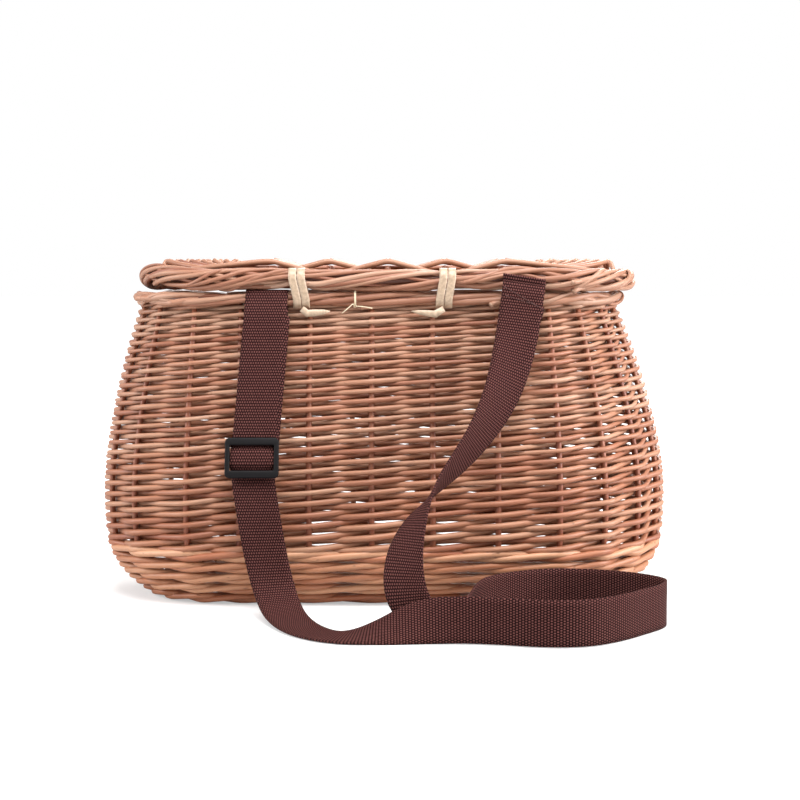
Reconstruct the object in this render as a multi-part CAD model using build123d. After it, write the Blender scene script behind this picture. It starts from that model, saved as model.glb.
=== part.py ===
from build123d import *
import os
from math import atan2, cos, pi, radians, sin

os.makedirs("parts", exist_ok=True)

# A lidded wicker creel with a webbing shoulder strap.
# Millimetres. Origin on the floor under the middle of the basket, +Z up, +X along its length.
# The hinge side, which lies on the wearer's hip, faces -Y. The closing side faces +Y.

# ---- basket body: driving dimensions ----
FLAT_HALF = 115.0          # half length of the straight part of the back, the same at every height
BASE_HALF = 170.0          # half length at the floor
BASE_DEPTH = 164.0
BELLY_HALF = 211.5         # half length at the widest height
BELLY_DEPTH = 215.0
BELLY_Z = 80.0
RIM_HALF = 178.6           # half length at the top of the weave
RIM_DEPTH = 150.0
RIM_Z = 211.5
RIM_SHIFT = -4.0           # the hand-made basket leans a little to the left
SHOULDER_POWER = 1.55      # how soon the two ends draw in above the belly
FLANK_POWER = 1.35         # how soon the back and the front do
FOOT_POWER = 4.0           # how tightly the wall turns in below
WALE_TOP = 41.0
WALE_WALL = 12.0
WALE_ROD = 4.8
WEAVER_LOW = 4.2           # thickness of the weaving rods above the wale
WEAVER_TOP = 3.0           # and under the border
STAKE_RADIUS = 2.1

# stakes of the side, as a place along the back, as angles round the two ends, along the front;
# the weaving rods run straight between them, before one and behind the next
BACK_STAKES = (-101, -52, -8, 35, 81)
RIGHT_STAKES = (6, 28, 49, 71, 94, 118, 143)
LEFT_STAKES = (15, 44, 68, 93, 118, 143)
FRONT_STAKES = 6
FRONT_PITCH = 52.0

# ---- base ----
BASE_BOTTOM = 3.0
BASE_THICK = 12.0
BASE_INSET = 18.0          # from the outside of the wall at the height of the base
STICK_RADIUS = 3.5
CROSS_STICKS = 5
CROSS_PITCH = 42.0
LONG_STICKS = 3
LONG_PITCH = 15.0

# ---- borders and lid ----
BORDER_RADIUS = 5.4
BORDER_INSET = 2.0         # border's centre line inside the rim's outline
BORDER_Z = RIM_Z + BORDER_RADIUS
LID_HALF = 177.7
LID_SHIFT = 3.0            # the lid sits a little to the right
LID_BORDER_RADIUS = 8.0
LID_GAP = 2.0              # room for the webbing that is wrapped round the lower border
LID_Z = BORDER_Z + BORDER_RADIUS + LID_GAP + LID_BORDER_RADIUS
LID_WEAVE_BOTTOM = 236.0
LID_WEAVE_TOP = 246.0
LID_WEAVE_INSET = 7.0
LID_SLOPE = 6.0
LID_STICK_RADIUS = 2.2
HINGE_Y = -RIM_DEPTH / 2 + BORDER_INSET
FRONT_Y = RIM_DEPTH / 2 - BORDER_INSET

# ---- cane hinge loops: two wraps of flat cane round both borders ----
LOOP_X = (-60.0, 45.7)
CANE_WIDTH = 5.4
CANE_THICK = 1.2
WRAP_GAP = 0.8
LOOP_FIT = 0.1             # on the fixed body border
LOOP_PLAY = 0.35           # round the lid border, which turns in it
TAIL_LENGTH = (26.0, 28.0)
TAIL_HEIGHT = 4.0
TAIL_Z = 208.6
TAIL_OUT = 2.6             # out from the weave's upper edge

# ---- closing loop and peg at the front ----
CLOSE_X = RIM_SHIFT
CLOSE_ROD = 1.6
CLOSE_HALF = 12.0
CLOSE_REACH = 35.0
CLOSE_REST = -60.0         # degrees from level, hanging out of use
CLOSE_RING = (5.85, 7.1)
CLOSE_RING_WIDTH = 5.0
PEG_RADIUS = 3.0
PEG_TIP_Y = 99.0
PEG_Z = 235.0

# ---- thread that ties the end of the border ----
TIE_X = -20.0
TIE_RADIUS = 0.5

# ---- shoulder strap ----
STRAP_WIDTH = 30.0
STRAP_THICK = 1.5
STRAP_FIT = 0.15
LAYER_STEP = 1.7           # from one layer of webbing to the next, centre to centre
LAYER_ASIDE = 2.5          # the second layer peeps out on one side
STRAP_HANG = 15.0          # degrees that the left part hangs out from upright
LEFT_X = -82.2
LEFT_LEAN = 0.075          # sideways step for each millimetre down
RIGHT_X = 99.5
RIGHT_FOLD = 3.2           # height of the fold over the end of the right part
NOTCH_DEPTH = 4.0
NOTCH_PLAY = 1.2

# route of the strap's middle line, left border to right border, with the way its width points
STRAP_ROUTE = (
    ((-82.2, -79.1, 218.5), (1, 0, 0)),
    ((-85.4, -90.5, 176.0), (1, 0, 0)),
    ((-88.5, -101.5, 135.0), (1, 0, 0)),
    ((-91.2, -111.3, 98.5), (1, 0, 0)),
    ((-85.5, -118.5, 66.0), (0.99, 0.1, 0)),
    ((-80.5, -121.0, 38.0), (0.97, 0.2, 0)),
    ((-74.0, -126.0, 15.0), (0.93, 0.36, 0)),
    ((-66.0, -150.0, 4.0), (0.88, 0.47, 0)),
    ((-51.0, -184.0, 1.1), (0.7, 0.71, 0)),
    ((-28.0, -206.5, 1.0), (0.25, 0.97, 0)),
    ((-3.0, -206.5, 4.8), (0, 0.96, 0.28)),
    ((22.0, -208.5, 12.5), (0, 0.6, 0.8)),
    ((48.0, -216.0, 15.3), (0, 0.1, 0.99)),
    ((76.0, -222.0, 15.4), (0, 0, 1)),
    ((103.0, -230.5, 15.4), (0, 0, 1)),
    ((131.0, -229.0, 15.4), (0, 0, 1)),
    ((154.0, -212.0, 15.4), (0, 0, 1)),
    ((173.0, -189.0, 15.4), (0, 0, 1)),
    ((188.0, -170.0, 15.4), (0, 0, 1)),
    ((192.0, -151.0, 15.4), (0, 0, 1)),
    ((181.0, -135.0, 15.4), (0, 0, 1)),
    ((165.0, -123.0, 15.4), (0, 0, 1)),
    ((145.0, -114.5, 15.4), (0, 0, 1)),
    ((119.0, -111.0, 15.4), (0, 0, 1)),
    ((93.0, -122.0, 15.4), (0, 0, 1)),
    ((72.0, -141.0, 15.3), (0, 0, 1)),
    ((58.0, -163.0, 14.8), (0.3, -0.17, 0.94)),
    ((47.0, -184.0, 12.0), (0.6, -0.35, 0.72)),
    ((30.0, -197.0, 10.5), (0.85, -0.3, 0.43)),
    ((16.0, -198.0, 24.0), (0.94, -0.3, 0.15)),
    ((13.5, -189.0, 48.0), (0.8, -0.6, 0)),
    ((21.0, -174.0, 72.0), (0.45, -0.85, 0.1)),
    ((34.5, -156.0, 91.0), (0.05, -0.9, 0.42)),
    ((51.0, -141.0, 107.0), (-0.22, -0.82, 0.53)),
    ((66.0, -128.0, 124.0), (-0.42, -0.72, 0.55)),
    ((81.5, -113.0, 149.0), (-0.72, -0.5, 0.48)),
    ((90.5, -101.0, 176.0), (-0.92, -0.25, 0.3)),
    ((96.0, -90.0, 203.0), (-0.99, 0, 0.07)),
    ((99.5, -84.9, 228.5), (-1, 0, 0)),
)
ROUTE_STEPS = 5            # sections in the bend at each point of the route

# ---- slide adjuster ----
SLIDE_PLACE_Z = 106.6
SLIDE_WIDTH = 37.4
SLIDE_HEIGHT = 28.2
SLIDE_WINDOW = (30.8, 18.0)
SLIDE_BACK = 1.15          # back of the frame, out from the strap's middle line
SLIDE_BAR_BACK = 2.75      # back of the upper and lower bars
SLIDE_FRONT = 6.2
SLIDE_CORNER = 3.2
CENTRE_BAR = 4.0
CENTRE_BAR_FRONT = 4.1
HUMP_OUT = 5.05            # middle of the webbing where it passes over the centre bar
HUMP_LOW = 1.75
HUMP_HALF = 13.0


def save(shape, name):
    export_step(Compound(children=list(shape.solids())) if len(shape.solids()) > 1
                else shape.solids()[0], f"parts/{name}.step")


def size_at(z):
    """Half length, depth and sideways shift of the basket's outside at a height."""
    if z >= BELLY_Z:
        rise = (min(z, RIM_Z) - BELLY_Z) / (RIM_Z - BELLY_Z)
        share = rise ** SHOULDER_POWER
        return (BELLY_HALF + (RIM_HALF - BELLY_HALF) * share,
                BELLY_DEPTH + (RIM_DEPTH - BELLY_DEPTH) * rise ** FLANK_POWER,
                RIM_SHIFT * share)
    share = ((BELLY_Z - z) / BELLY_Z) ** FOOT_POWER
    return (BELLY_HALF + (BASE_HALF - BELLY_HALF) * share,
            BELLY_DEPTH + (BASE_DEPTH - BELLY_DEPTH) * share, 0.0)


def weaver_at(z):
    """Thickness of the weaving rods at a height."""
    share = min(max((z - WALE_TOP) / (RIM_Z - WALE_TOP), 0), 1)
    return WEAVER_LOW + (WEAVER_TOP - WEAVER_LOW) * share


def plan_arcs(half, depth, inset):
    """Radii, centres and joint angle of the D-shaped plan: a line, two end arcs, a front arc."""
    end = half - FLAT_HALF
    end_y = -depth / 2 + end
    front = depth / 2 + FLAT_HALF ** 2 / (2 * (depth - 2 * end))
    front_y = depth / 2 - front
    joint = atan2(end_y - front_y, FLAT_HALF)
    return end - inset, end_y, front - inset, front_y, joint


def plan_wire(half, depth, inset, z, shift=0.0):
    end, end_y, front, front_y, joint = plan_arcs(half, depth, inset)
    middle = (joint - pi / 2) / 2

    def on_end(angle, side):
        return (shift + side * (FLAT_HALF + end * cos(angle)), end_y + end * sin(angle), z)

    back_right = on_end(-pi / 2, 1)
    back_left = on_end(-pi / 2, -1)
    right = on_end(joint, 1)
    left = on_end(joint, -1)
    top = (shift, front_y + front, z)
    return Wire([
        Edge.make_line(back_left, back_right),
        Edge.make_three_point_arc(back_right, on_end(middle, 1), right),
        Edge.make_three_point_arc(right, top, left),
        Edge.make_three_point_arc(left, on_end(middle, -1), back_left)])


def stake_places():
    """Each stake in order round the basket: its stretch of the plan, and how far along it."""
    places = [("back", x) for x in BACK_STAKES]
    places += [("right", radians(a - 90)) for a in RIGHT_STAKES]
    places += [("front", ((FRONT_STAKES - 1) / 2 - n) * FRONT_PITCH) for n in range(FRONT_STAKES)]
    places += [("left", radians(a - 90)) for a in reversed(LEFT_STAKES)]
    return places


def wall_point(place, z, inset):
    half, depth, shift = size_at(z)
    end, end_y, front, front_y, _ = plan_arcs(half, depth, inset)
    stretch, value = place
    if stretch == "back":
        return Vector(value, end_y - end, z)
    if stretch == "front":
        return Vector(shift + value, front_y + (front ** 2 - value ** 2) ** 0.5, z)
    side = 1 if stretch == "right" else -1
    return Vector(shift + side * (FLAT_HALF + end * cos(value)), end_y + end * sin(value), z)


def stake_depth(z):
    """From the wall's outside to the middle of its stakes."""
    return weaver_at(z) + STAKE_RADIUS


def weave_outline(z, crest, line, step):
    """Plan with a corner at each stake and one halfway to the next, a step out from the line."""
    corners = []
    places = stake_places()
    for place, following in zip(places, places[1:] + places[:1]):
        here = wall_point(place, z, line)
        ahead = wall_point(following, z, line)
        along = (ahead - here).normalized()
        corners.append(wall_point(place, z, crest))
        corners.append((here + ahead) * 0.5 + Vector(along.Y, -along.X, 0) * step)
    return Wire.make_polygon(corners, close=True)


def bottom_wale():
    """Thick rows of wale: it bulges a little at each stake outside, and is even inside."""
    heights = (0, 6, 14, 26, WALE_TOP)
    outside = Solid.make_loft([weave_outline(z, 0, 0, -WALE_ROD / 2) for z in heights])
    wires = []
    for z in heights:
        half, depth, shift = size_at(z)
        wires.append(plan_wire(half, depth, WALE_WALL, z, shift))
    return outside - Solid.make_loft(wires)


def strap_notches():
    """Gaps in the weave under the border, for the strap and the cane."""
    cuts = []
    widths = [(LEFT_X, STRAP_WIDTH), (RIGHT_X, STRAP_WIDTH)]
    widths += [(x, 2 * CANE_WIDTH + WRAP_GAP) for x in LOOP_X]
    for x, width in widths:
        cuts.append(Pos(x, HINGE_Y, RIM_Z) * Box(width + 2 * NOTCH_PLAY, 40, 2 * NOTCH_DEPTH))
    for x in (CLOSE_X - CLOSE_HALF, CLOSE_X + CLOSE_HALF):
        cuts.append(Pos(x, FRONT_Y, RIM_Z) * Box(CLOSE_RING_WIDTH + 2, 40, 2 * NOTCH_DEPTH))
    return cuts


def side_weave():
    """The rods cross between the stakes, so the wall is thick at each stake and thin between."""
    outside, inside = [], []
    for z in (WALE_TOP, 60, BELLY_Z, 105, 130, 155, 180, 198, RIM_Z):
        line = stake_depth(z)
        outside.append(weave_outline(z, 0, line, weaver_at(z) / 2))
        inside.append(weave_outline(z, 2 * line, line, -weaver_at(z) / 2))
    return Solid.make_loft(outside) - Solid.make_loft(inside) - strap_notches()


def side_stakes():
    heights = (6, 14, 26, 44, 64, 88, 114, 140, 166, 192, 215)
    solids = []
    for place in stake_places():
        rings = []
        for z in heights:
            centre = wall_point(place, z, stake_depth(z))
            rings.append(Wire.make_circle(STAKE_RADIUS, Plane(centre)))
        solids.append(Solid.make_loft(rings, ruled=True))
    return Compound(solids)


def base_outline():
    return size_at(BASE_BOTTOM + BASE_THICK / 2)[:2]


def base_weave():
    half, depth = base_outline()
    outline = plan_wire(half, depth, BASE_INSET, BASE_BOTTOM)
    return Solid.extrude(Face(outline), Vector(0, 0, BASE_THICK))


def rods_across(outline, inset, radius, z, shift=0.0):
    """Sticks that run from back to front, to a given way inside the outline."""
    end, end_y, front, front_y, _ = plan_arcs(*outline, inset)
    rods = []
    for n in range(CROSS_STICKS):
        x = (n - (CROSS_STICKS - 1) / 2) * CROSS_PITCH
        back = end_y - end
        length = front_y + (front ** 2 - x ** 2) ** 0.5 - back
        rods.append(Pos(x + shift, back + length / 2, z) * Rot(90, 0, 0) * Cylinder(radius, length))
    return Compound([rod.solid() for rod in rods])


def rods_along(outline, inset, radius, z, shift=0.0):
    """Sticks that run from end to end."""
    end, end_y, _, _, _ = plan_arcs(*outline, inset)
    rods = []
    for n in range(LONG_STICKS):
        y = (n - (LONG_STICKS - 1) / 2) * LONG_PITCH
        reach = FLAT_HALF + (end ** 2 - (y - end_y) ** 2) ** 0.5
        rods.append(Pos(shift, y, z) * Rot(0, 90, 0) * Cylinder(radius, 2 * reach))
    return Compound([rod.solid() for rod in rods])


def base_sticks():
    outline = base_outline()
    z = BASE_BOTTOM + BASE_THICK / 2
    inset = BASE_INSET + 3
    return (rods_across(outline, inset, STICK_RADIUS, z),
            rods_along(outline, inset, STICK_RADIUS, z))


def border_ring(half, radius, z, shift):
    path = plan_wire(half, RIM_DEPTH, BORDER_INSET, z, shift)
    start = Plane(origin=path @ 0, z_dir=path % 0)
    return sweep(start * Circle(radius), path=path)


def turning_room(y, places, width):
    """Space that the loops need round the lid border's straight or nearly straight parts."""
    radius = LID_BORDER_RADIUS + LOOP_PLAY + CANE_THICK + 1.0
    return [Pos(x, y, LID_Z) * Rot(0, 90, 0) * Cylinder(radius, width) for x in places]


def lid_parts():
    border = border_ring(LID_HALF, LID_BORDER_RADIUS, LID_Z, LID_SHIFT)
    room = turning_room(HINGE_Y, LOOP_X, 2 * CANE_WIDTH + WRAP_GAP + 2)
    outline = plan_wire(LID_HALF, RIM_DEPTH, LID_WEAVE_INSET, LID_WEAVE_BOTTOM, LID_SHIFT)
    plate = Solid.extrude(Face(outline), Vector(0, 0, LID_WEAVE_TOP - LID_WEAVE_BOTTOM))
    plate = chamfer(Part(plate.wrapped).edges().group_by(Axis.Z)[-1], LID_SLOPE - 0.5)
    stick_z = (LID_WEAVE_BOTTOM + LID_WEAVE_TOP) / 2
    size = (LID_HALF, RIM_DEPTH)
    inset = LID_WEAVE_INSET - 1
    across = rods_across(size, inset, LID_STICK_RADIUS, stick_z, LID_SHIFT)
    along = rods_along(size, inset, LID_STICK_RADIUS, stick_z, LID_SHIFT)
    return border, plate - room, across - room, along


def belt_profile(low, high):
    """Outline of a band pulled round the two borders, in the plane across them."""
    rise = LID_Z - BORDER_Z
    tilt = (high - low) / rise
    level = (1 - tilt ** 2) ** 0.5

    def touch(radius, z, side):
        return (0, HINGE_Y + side * radius * level, z - radius * tilt)

    low_left, low_right = touch(low, BORDER_Z, -1), touch(low, BORDER_Z, 1)
    high_left, high_right = touch(high, LID_Z, -1), touch(high, LID_Z, 1)
    return Face(Wire([
        Edge.make_three_point_arc(low_left, (0, HINGE_Y, BORDER_Z - low), low_right),
        Edge.make_line(low_right, high_right),
        Edge.make_three_point_arc(high_right, (0, HINGE_Y, LID_Z + high), high_left),
        Edge.make_line(high_left, low_left)]))


def hinge_loop(x, tail_length, tail_side):
    low = BORDER_RADIUS + LOOP_FIT
    high = LID_BORDER_RADIUS + LOOP_PLAY
    band = Part(Solid.extrude(belt_profile(low + CANE_THICK, high + CANE_THICK),
                              Vector(CANE_WIDTH, 0, 0)).wrapped)
    band -= Part(Solid.extrude(belt_profile(low, high), Vector(CANE_WIDTH, 0, 0)).wrapped)
    step = CANE_WIDTH + WRAP_GAP
    left = Pos(x - step / 2 - CANE_WIDTH / 2, 0, 0) * band
    right = Pos(x + step / 2 - CANE_WIDTH / 2, 0, 0) * band
    # the strip's end comes out under the border and runs along the weave
    outer_y = HINGE_Y - BORDER_INSET
    near = x + tail_side * step / 2
    tail_y = outer_y - TAIL_OUT
    tail = Pos(near + tail_side * (tail_length - CANE_WIDTH) / 2, tail_y, TAIL_Z)
    tail *= Box(tail_length, CANE_THICK, TAIL_HEIGHT)
    bridge = Pos(near, (tail_y + HINGE_Y) / 2, BORDER_Z - low - CANE_THICK / 2 - 0.3)
    bridge *= Box(CANE_WIDTH, HINGE_Y - tail_y, CANE_THICK)
    if tail_side > 0:
        return Compound([left.solid(), (right + bridge + tail).solid()])
    return Compound([(left + bridge + tail).solid(), right.solid()])


def closing_loop():
    """Bent rod with two thin eyes round the body border, hanging clear of the peg."""
    lean = radians(CLOSE_REST)
    inner, outer = CLOSE_RING
    eyes = []
    for x in (-CLOSE_HALF, CLOSE_HALF):
        eye = Cylinder(outer, CLOSE_RING_WIDTH) - Cylinder(inner, CLOSE_RING_WIDTH)
        eyes.append(Pos(CLOSE_X + x, FRONT_Y, BORDER_Z) * Rot(0, 90, 0) * eye)

    def out(x, reach):
        return (CLOSE_X + x, FRONT_Y + reach * cos(lean), BORDER_Z + reach * sin(lean))

    root = (inner + outer) / 2
    path = FilletPolyline(out(-CLOSE_HALF, root), out(-CLOSE_HALF, CLOSE_REACH),
                          out(CLOSE_HALF, CLOSE_REACH), out(CLOSE_HALF, root), radius=7)
    rod = sweep(Plane(origin=path @ 0, z_dir=path % 0) * Circle(CLOSE_ROD), path=path)
    loop = eyes[0] + rod + eyes[1]
    # the rod's ends stop at the eyes' bore
    return loop - Pos(CLOSE_X, FRONT_Y, BORDER_Z) * Rot(0, 90, 0) * Cylinder(inner, 60)


def closing_peg():
    length = PEG_TIP_Y - FRONT_Y - 2
    peg = chamfer(Cylinder(PEG_RADIUS, length).faces().sort_by(Axis.Z)[-1].edges(), 1.0)
    return Pos(CLOSE_X, PEG_TIP_Y - length / 2, PEG_Z) * Rot(-90, 0, 0) * peg


def tie_thread():
    major = BORDER_RADIUS + TIE_RADIUS + 0.1
    ring = Pos(TIE_X, HINGE_Y, BORDER_Z) * Rot(0, 90, 0) * Torus(major, TIE_RADIUS)
    ends = []
    for turn in (-62, 62):
        end = Pos(TIE_X, HINGE_Y - major * cos(radians(40)), BORDER_Z - major * sin(radians(40)))
        ends.append(end * Rot(30, 0, 0) * Rot(0, turn, 0) * Cylinder(TIE_RADIUS, 12))
    return ring + ends


def route_sections():
    """Middle and width of the webbing along its whole route, as smooth bends."""
    def blend(a, b, c, t):
        return a * ((1 - t) ** 2) + b * (2 * t * (1 - t)) + c * (t ** 2)

    points = [Vector(p) for p, _ in STRAP_ROUTE]
    widths = [Vector(w).normalized() for _, w in STRAP_ROUTE]
    sections = [(points[0], widths[0])]
    for n in range(1, len(points) - 1):
        ends = []
        for values in (points, widths):
            before = values[n - 1] if n == 1 else (values[n - 1] + values[n]) * 0.5
            after = values[n + 1] if n == len(points) - 2 else (values[n] + values[n + 1]) * 0.5
            ends.append((before, after))
        for step in range(1, ROUTE_STEPS + 1):
            t = step / ROUTE_STEPS
            middle = blend(ends[0][0], points[n], ends[0][1], t)
            width = blend(ends[1][0], widths[n], ends[1][1], t)
            sections.append((middle, width.normalized()))
    return sections


def strap_run():
    sections = route_sections()
    wires = []
    for n, (middle, width) in enumerate(sections):
        before = sections[max(n - 1, 0)][0]
        after = sections[min(n + 1, len(sections) - 1)][0]
        along = (after - before).normalized()
        out = along.cross(width).normalized() * (STRAP_THICK / 2)
        side = width * (STRAP_WIDTH / 2)
        corners = [middle - side - out, middle + side - out, middle + side + out,
                   middle - side + out]
        wires.append(Wire.make_polygon(corners, close=True))
    total = sum((b[0] - a[0]).length for a, b in zip(sections, sections[1:]))
    print(f"strap run {total:.0f} mm, {total * STRAP_WIDTH * STRAP_THICK:.0f} mm3 expected")
    return Solid.make_loft(wires, ruled=True)


def webbing_strip(points, radius):
    """Webbing 30 mm wide that follows a flat path across the borders."""
    path = FilletPolyline(*points, radius=radius)
    start = Plane(origin=path @ 0, x_dir=(1, 0, 0), z_dir=path % 0)
    return sweep(start * Rectangle(STRAP_WIDTH, STRAP_THICK), path=path)


def wrap_points(x, first, last, steps=6):
    """Corner points of the stretch that goes over, inside and under the body border."""
    radius = BORDER_RADIUS + STRAP_FIT + STRAP_THICK / 2
    reach = radius / cos(radians(abs(last - first) / steps / 2))
    points = []
    for n in range(steps):
        angle = radians(first + (last - first) * (n + 0.5) / steps)
        points.append((x, HINGE_Y + reach * cos(angle), BORDER_Z + reach * sin(angle)))
    return points


def hang_point(z, back=0.0):
    """A point of the left part's straight hang, a given way behind the front layer."""
    tilt = radians(STRAP_HANG)
    (x, y, top), _ = STRAP_ROUTE[0]
    drop = top - z
    return (x - LEFT_LEAN * drop, y - drop * (sin(tilt) / cos(tilt)) + back / cos(tilt), z)


def strap_end_left():
    x, top_y, top_z = STRAP_ROUTE[0][0]
    points = [(x, top_y, top_z)] + wrap_points(x, 165, -105)
    y, z = hang_point(204, LAYER_STEP)[1:]
    points += [(x, y + 2.0, 209.0), (x, y, z)]
    return webbing_strip(points, 1.2)


def strap_return():
    """Second layer, behind the front one and a little aside, from the border to the adjuster."""
    wires = []
    for z in (204, SLIDE_PLACE_Z - 2):
        middle = Vector(hang_point(z, LAYER_STEP)) + Vector(LAYER_ASIDE, 0, 0)
        tilt = radians(STRAP_HANG)
        out = Vector(0, -cos(tilt), sin(tilt)) * (STRAP_THICK / 2)
        side = Vector(STRAP_WIDTH / 2, 0, 0)
        wires.append(Wire.make_polygon(
            [middle - side - out, middle + side - out, middle + side + out, middle - side + out],
            close=True))
    return Solid.make_loft(wires, ruled=True)


def strap_end_right():
    x, y, z = STRAP_ROUTE[-1][0]
    inner = y + LAYER_STEP + 0.3
    low = BORDER_Z + BORDER_RADIUS + STRAP_FIT + STRAP_THICK / 2
    points = [(x, y, z), (x, y, z + RIGHT_FOLD), (x, inner, z + RIGHT_FOLD), (x, inner, low)]
    points += wrap_points(x, 100, -100)
    points += [(x, -80.5, 209.8), (x, -85.6, 199.5)]
    return webbing_strip(points, 0.95)


def slide_plane():
    """Level across, in the plane of the hanging webbing."""
    tilt = radians(STRAP_HANG)
    outward = (0, -cos(tilt), sin(tilt))
    return Plane(origin=hang_point(SLIDE_PLACE_Z), x_dir=(1, 0, 0), z_dir=outward)


def slide_adjuster():
    """One-piece three-bar slide: frame in front of the strap, centre bar set further back."""
    depth = SLIDE_FRONT - SLIDE_BACK
    outline = RectangleRounded(SLIDE_WIDTH, SLIDE_HEIGHT, SLIDE_CORNER)
    frame = extrude(outline - Rectangle(*SLIDE_WINDOW), depth)
    frame = Pos(0, 0, SLIDE_BACK) * frame
    # the upper and lower bars stand off, so that the webbing passes behind them
    step = SLIDE_BAR_BACK - SLIDE_BACK
    frame -= Pos(0, 0, SLIDE_BACK + step / 2) * Box(SLIDE_WINDOW[0], SLIDE_HEIGHT + 2, step)
    bar = Box(SLIDE_WINDOW[0] + 4, CENTRE_BAR, CENTRE_BAR_FRONT - SLIDE_BACK)
    frame += Pos(0, 0, (CENTRE_BAR_FRONT + SLIDE_BACK) / 2) * bar
    return slide_plane() * frame


def webbing_over_bar():
    """The stretch of webbing inside the slide, arched over its centre bar."""
    place = slide_plane()
    profile = [(-HUMP_HALF, HUMP_LOW), (-8.6, HUMP_LOW), (-4.2, HUMP_OUT), (4.2, HUMP_OUT),
               (8.6, HUMP_LOW), (HUMP_HALF, HUMP_LOW)]
    points = [place.from_local_coords(Vector(0, v, w)) for v, w in profile]
    path = FilletPolyline(*points, radius=1.6)
    start = Plane(origin=path @ 0, x_dir=place.x_dir, z_dir=path % 0)
    return sweep(start * Rectangle(STRAP_WIDTH, STRAP_THICK - 0.2), path=path)


def main():
    save(bottom_wale(), "bottom_wale")
    save(side_weave(), "side_weave")
    save(side_stakes(), "side_stakes")
    save(base_weave(), "base_weave")
    across, along = base_sticks()
    save(across, "base_cross_sticks")
    save(along, "base_long_sticks")
    save(border_ring(RIM_HALF, BORDER_RADIUS, BORDER_Z, RIM_SHIFT), "body_border")
    border, plate, across, along = lid_parts()
    save(border, "lid_border")
    save(plate, "lid_weave")
    save(across, "lid_cross_sticks")
    save(along, "lid_long_sticks")
    save(hinge_loop(LOOP_X[0], TAIL_LENGTH[0], 1), "hinge_loop_left")
    save(hinge_loop(LOOP_X[1], TAIL_LENGTH[1], -1), "hinge_loop_right")
    save(closing_loop(), "closing_loop")
    save(closing_peg(), "closing_peg")
    save(tie_thread(), "tie_thread")
    save(strap_run(), "strap_run")
    save(strap_end_left(), "strap_end_left")
    save(strap_return(), "strap_return_layer")
    save(strap_end_right(), "strap_end_right")
    save(slide_adjuster(), "slide_adjuster")
    save(webbing_over_bar(), "webbing_over_bar")


main()
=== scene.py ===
import math
import random
from math import atan2, cos, pi, radians, sin

import bmesh
import bpy
import numpy as np
from mathutils import Matrix, Vector


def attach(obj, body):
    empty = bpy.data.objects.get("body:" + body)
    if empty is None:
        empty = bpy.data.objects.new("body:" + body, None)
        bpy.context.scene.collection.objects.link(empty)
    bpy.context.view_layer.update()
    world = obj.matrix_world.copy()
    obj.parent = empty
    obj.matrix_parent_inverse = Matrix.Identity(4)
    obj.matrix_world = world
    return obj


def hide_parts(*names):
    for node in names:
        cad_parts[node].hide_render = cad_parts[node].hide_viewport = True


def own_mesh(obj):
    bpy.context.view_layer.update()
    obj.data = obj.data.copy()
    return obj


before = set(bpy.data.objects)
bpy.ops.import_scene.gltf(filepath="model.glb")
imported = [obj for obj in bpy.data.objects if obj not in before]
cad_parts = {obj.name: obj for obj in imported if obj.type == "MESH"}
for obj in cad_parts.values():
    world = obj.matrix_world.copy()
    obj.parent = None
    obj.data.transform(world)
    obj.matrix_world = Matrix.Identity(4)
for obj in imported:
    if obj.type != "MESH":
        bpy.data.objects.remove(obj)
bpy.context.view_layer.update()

# Metres, in the creel's own frame: the hinge side faces -Y, the closing side +Y.

# ---- basket ----
FLAT_HALF = 0.115          # half length of the straight part of the back
BASE_HALF = 0.170
BASE_DEPTH = 0.164
BELLY_HALF = 0.2115
BELLY_DEPTH = 0.215
BELLY_Z = 0.080
RIM_HALF = 0.1786
RIM_DEPTH = 0.150
RIM_Z = 0.2115
RIM_SHIFT = -0.004
SHOULDER_POWER = 1.55
FLANK_POWER = 1.35
FOOT_POWER = 4.0
WALE_TOP = 0.041

BACK_STAKES = (-0.101, -0.052, -0.008, 0.035, 0.081)
RIGHT_STAKES = (6, 28, 49, 71, 94, 118, 143)
LEFT_STAKES = (15, 44, 68, 93, 118, 143)
FRONT_STAKES = 6
FRONT_PITCH = 0.052
STAKE_RADIUS = 0.0021
STAKE_TAPER = (1.06, 0.92)
STAKE_HEIGHTS = (0.006, 0.014, 0.026, 0.044, 0.064, 0.088, 0.114, 0.14, 0.166, 0.192, 0.214)
STAKE_TINTS = (0.1, 0.5)

# ---- willow rods ----
WEAVE_ROUNDS = 25
WEAVER_LOW = 0.0021        # radius above the wale
WEAVER_TOP = 0.0015        # radius under the border
WEAVER_VARIES = (0.93, 1.08)
WEAVER_STRAY = 0.0003      # how far a whole rod lies too high or too low
STATION_STRAY = 0.00025    # and how much more at each stake
FIRST_ROUND = 0.6          # height of the first round above the wale, in its rods' radii
ROUND_LOW = 0.0083         # height of one round of weave at the bottom
ROD_STAKES = 16            # stakes that one rod passes before the next is laid in
ROD_TAPER = (1.1, 0.88)    # from a rod's butt to its tip
TAIL = 0.35                # how far a rod's end goes past its last stake, in stakes
TAIL_DEEPER = 0.0022
WALE_ROWS = 5
WALE_ROD = 0.0024
WALE_VARIES = (0.94, 1.06)
WALE_STRAY = 0.0003
WALE_RISES = (-0.2604, 0.2604, 0.031)      # of a rod at the stakes that it meets in turn, in rows
WALE_BEFORE = 0.9          # how far in a wale rod is before a stake, in its radii
WALE_BEHIND = 3.2          # and behind one, more than the stake's own thickness
WALE_CLEAR = 1.02          # lowest place of a wale rod, in its radii
FOOT_TINT = (0.98, 0.80, 0.66, 1)
FOOT_TINT_TOP = 0.15       # height to which the rods are more orange
BEND = 1.2                 # how far a curve's points overshoot the bends that it makes
CUT_END = 3.0              # shade value that marks the cut end of a rod
CORE_PAINTED_SHADE = -1.0          # shade value of what lies deep in a border, which gives it the darkest colour of the ramp: painted shade between the border's rods
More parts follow.
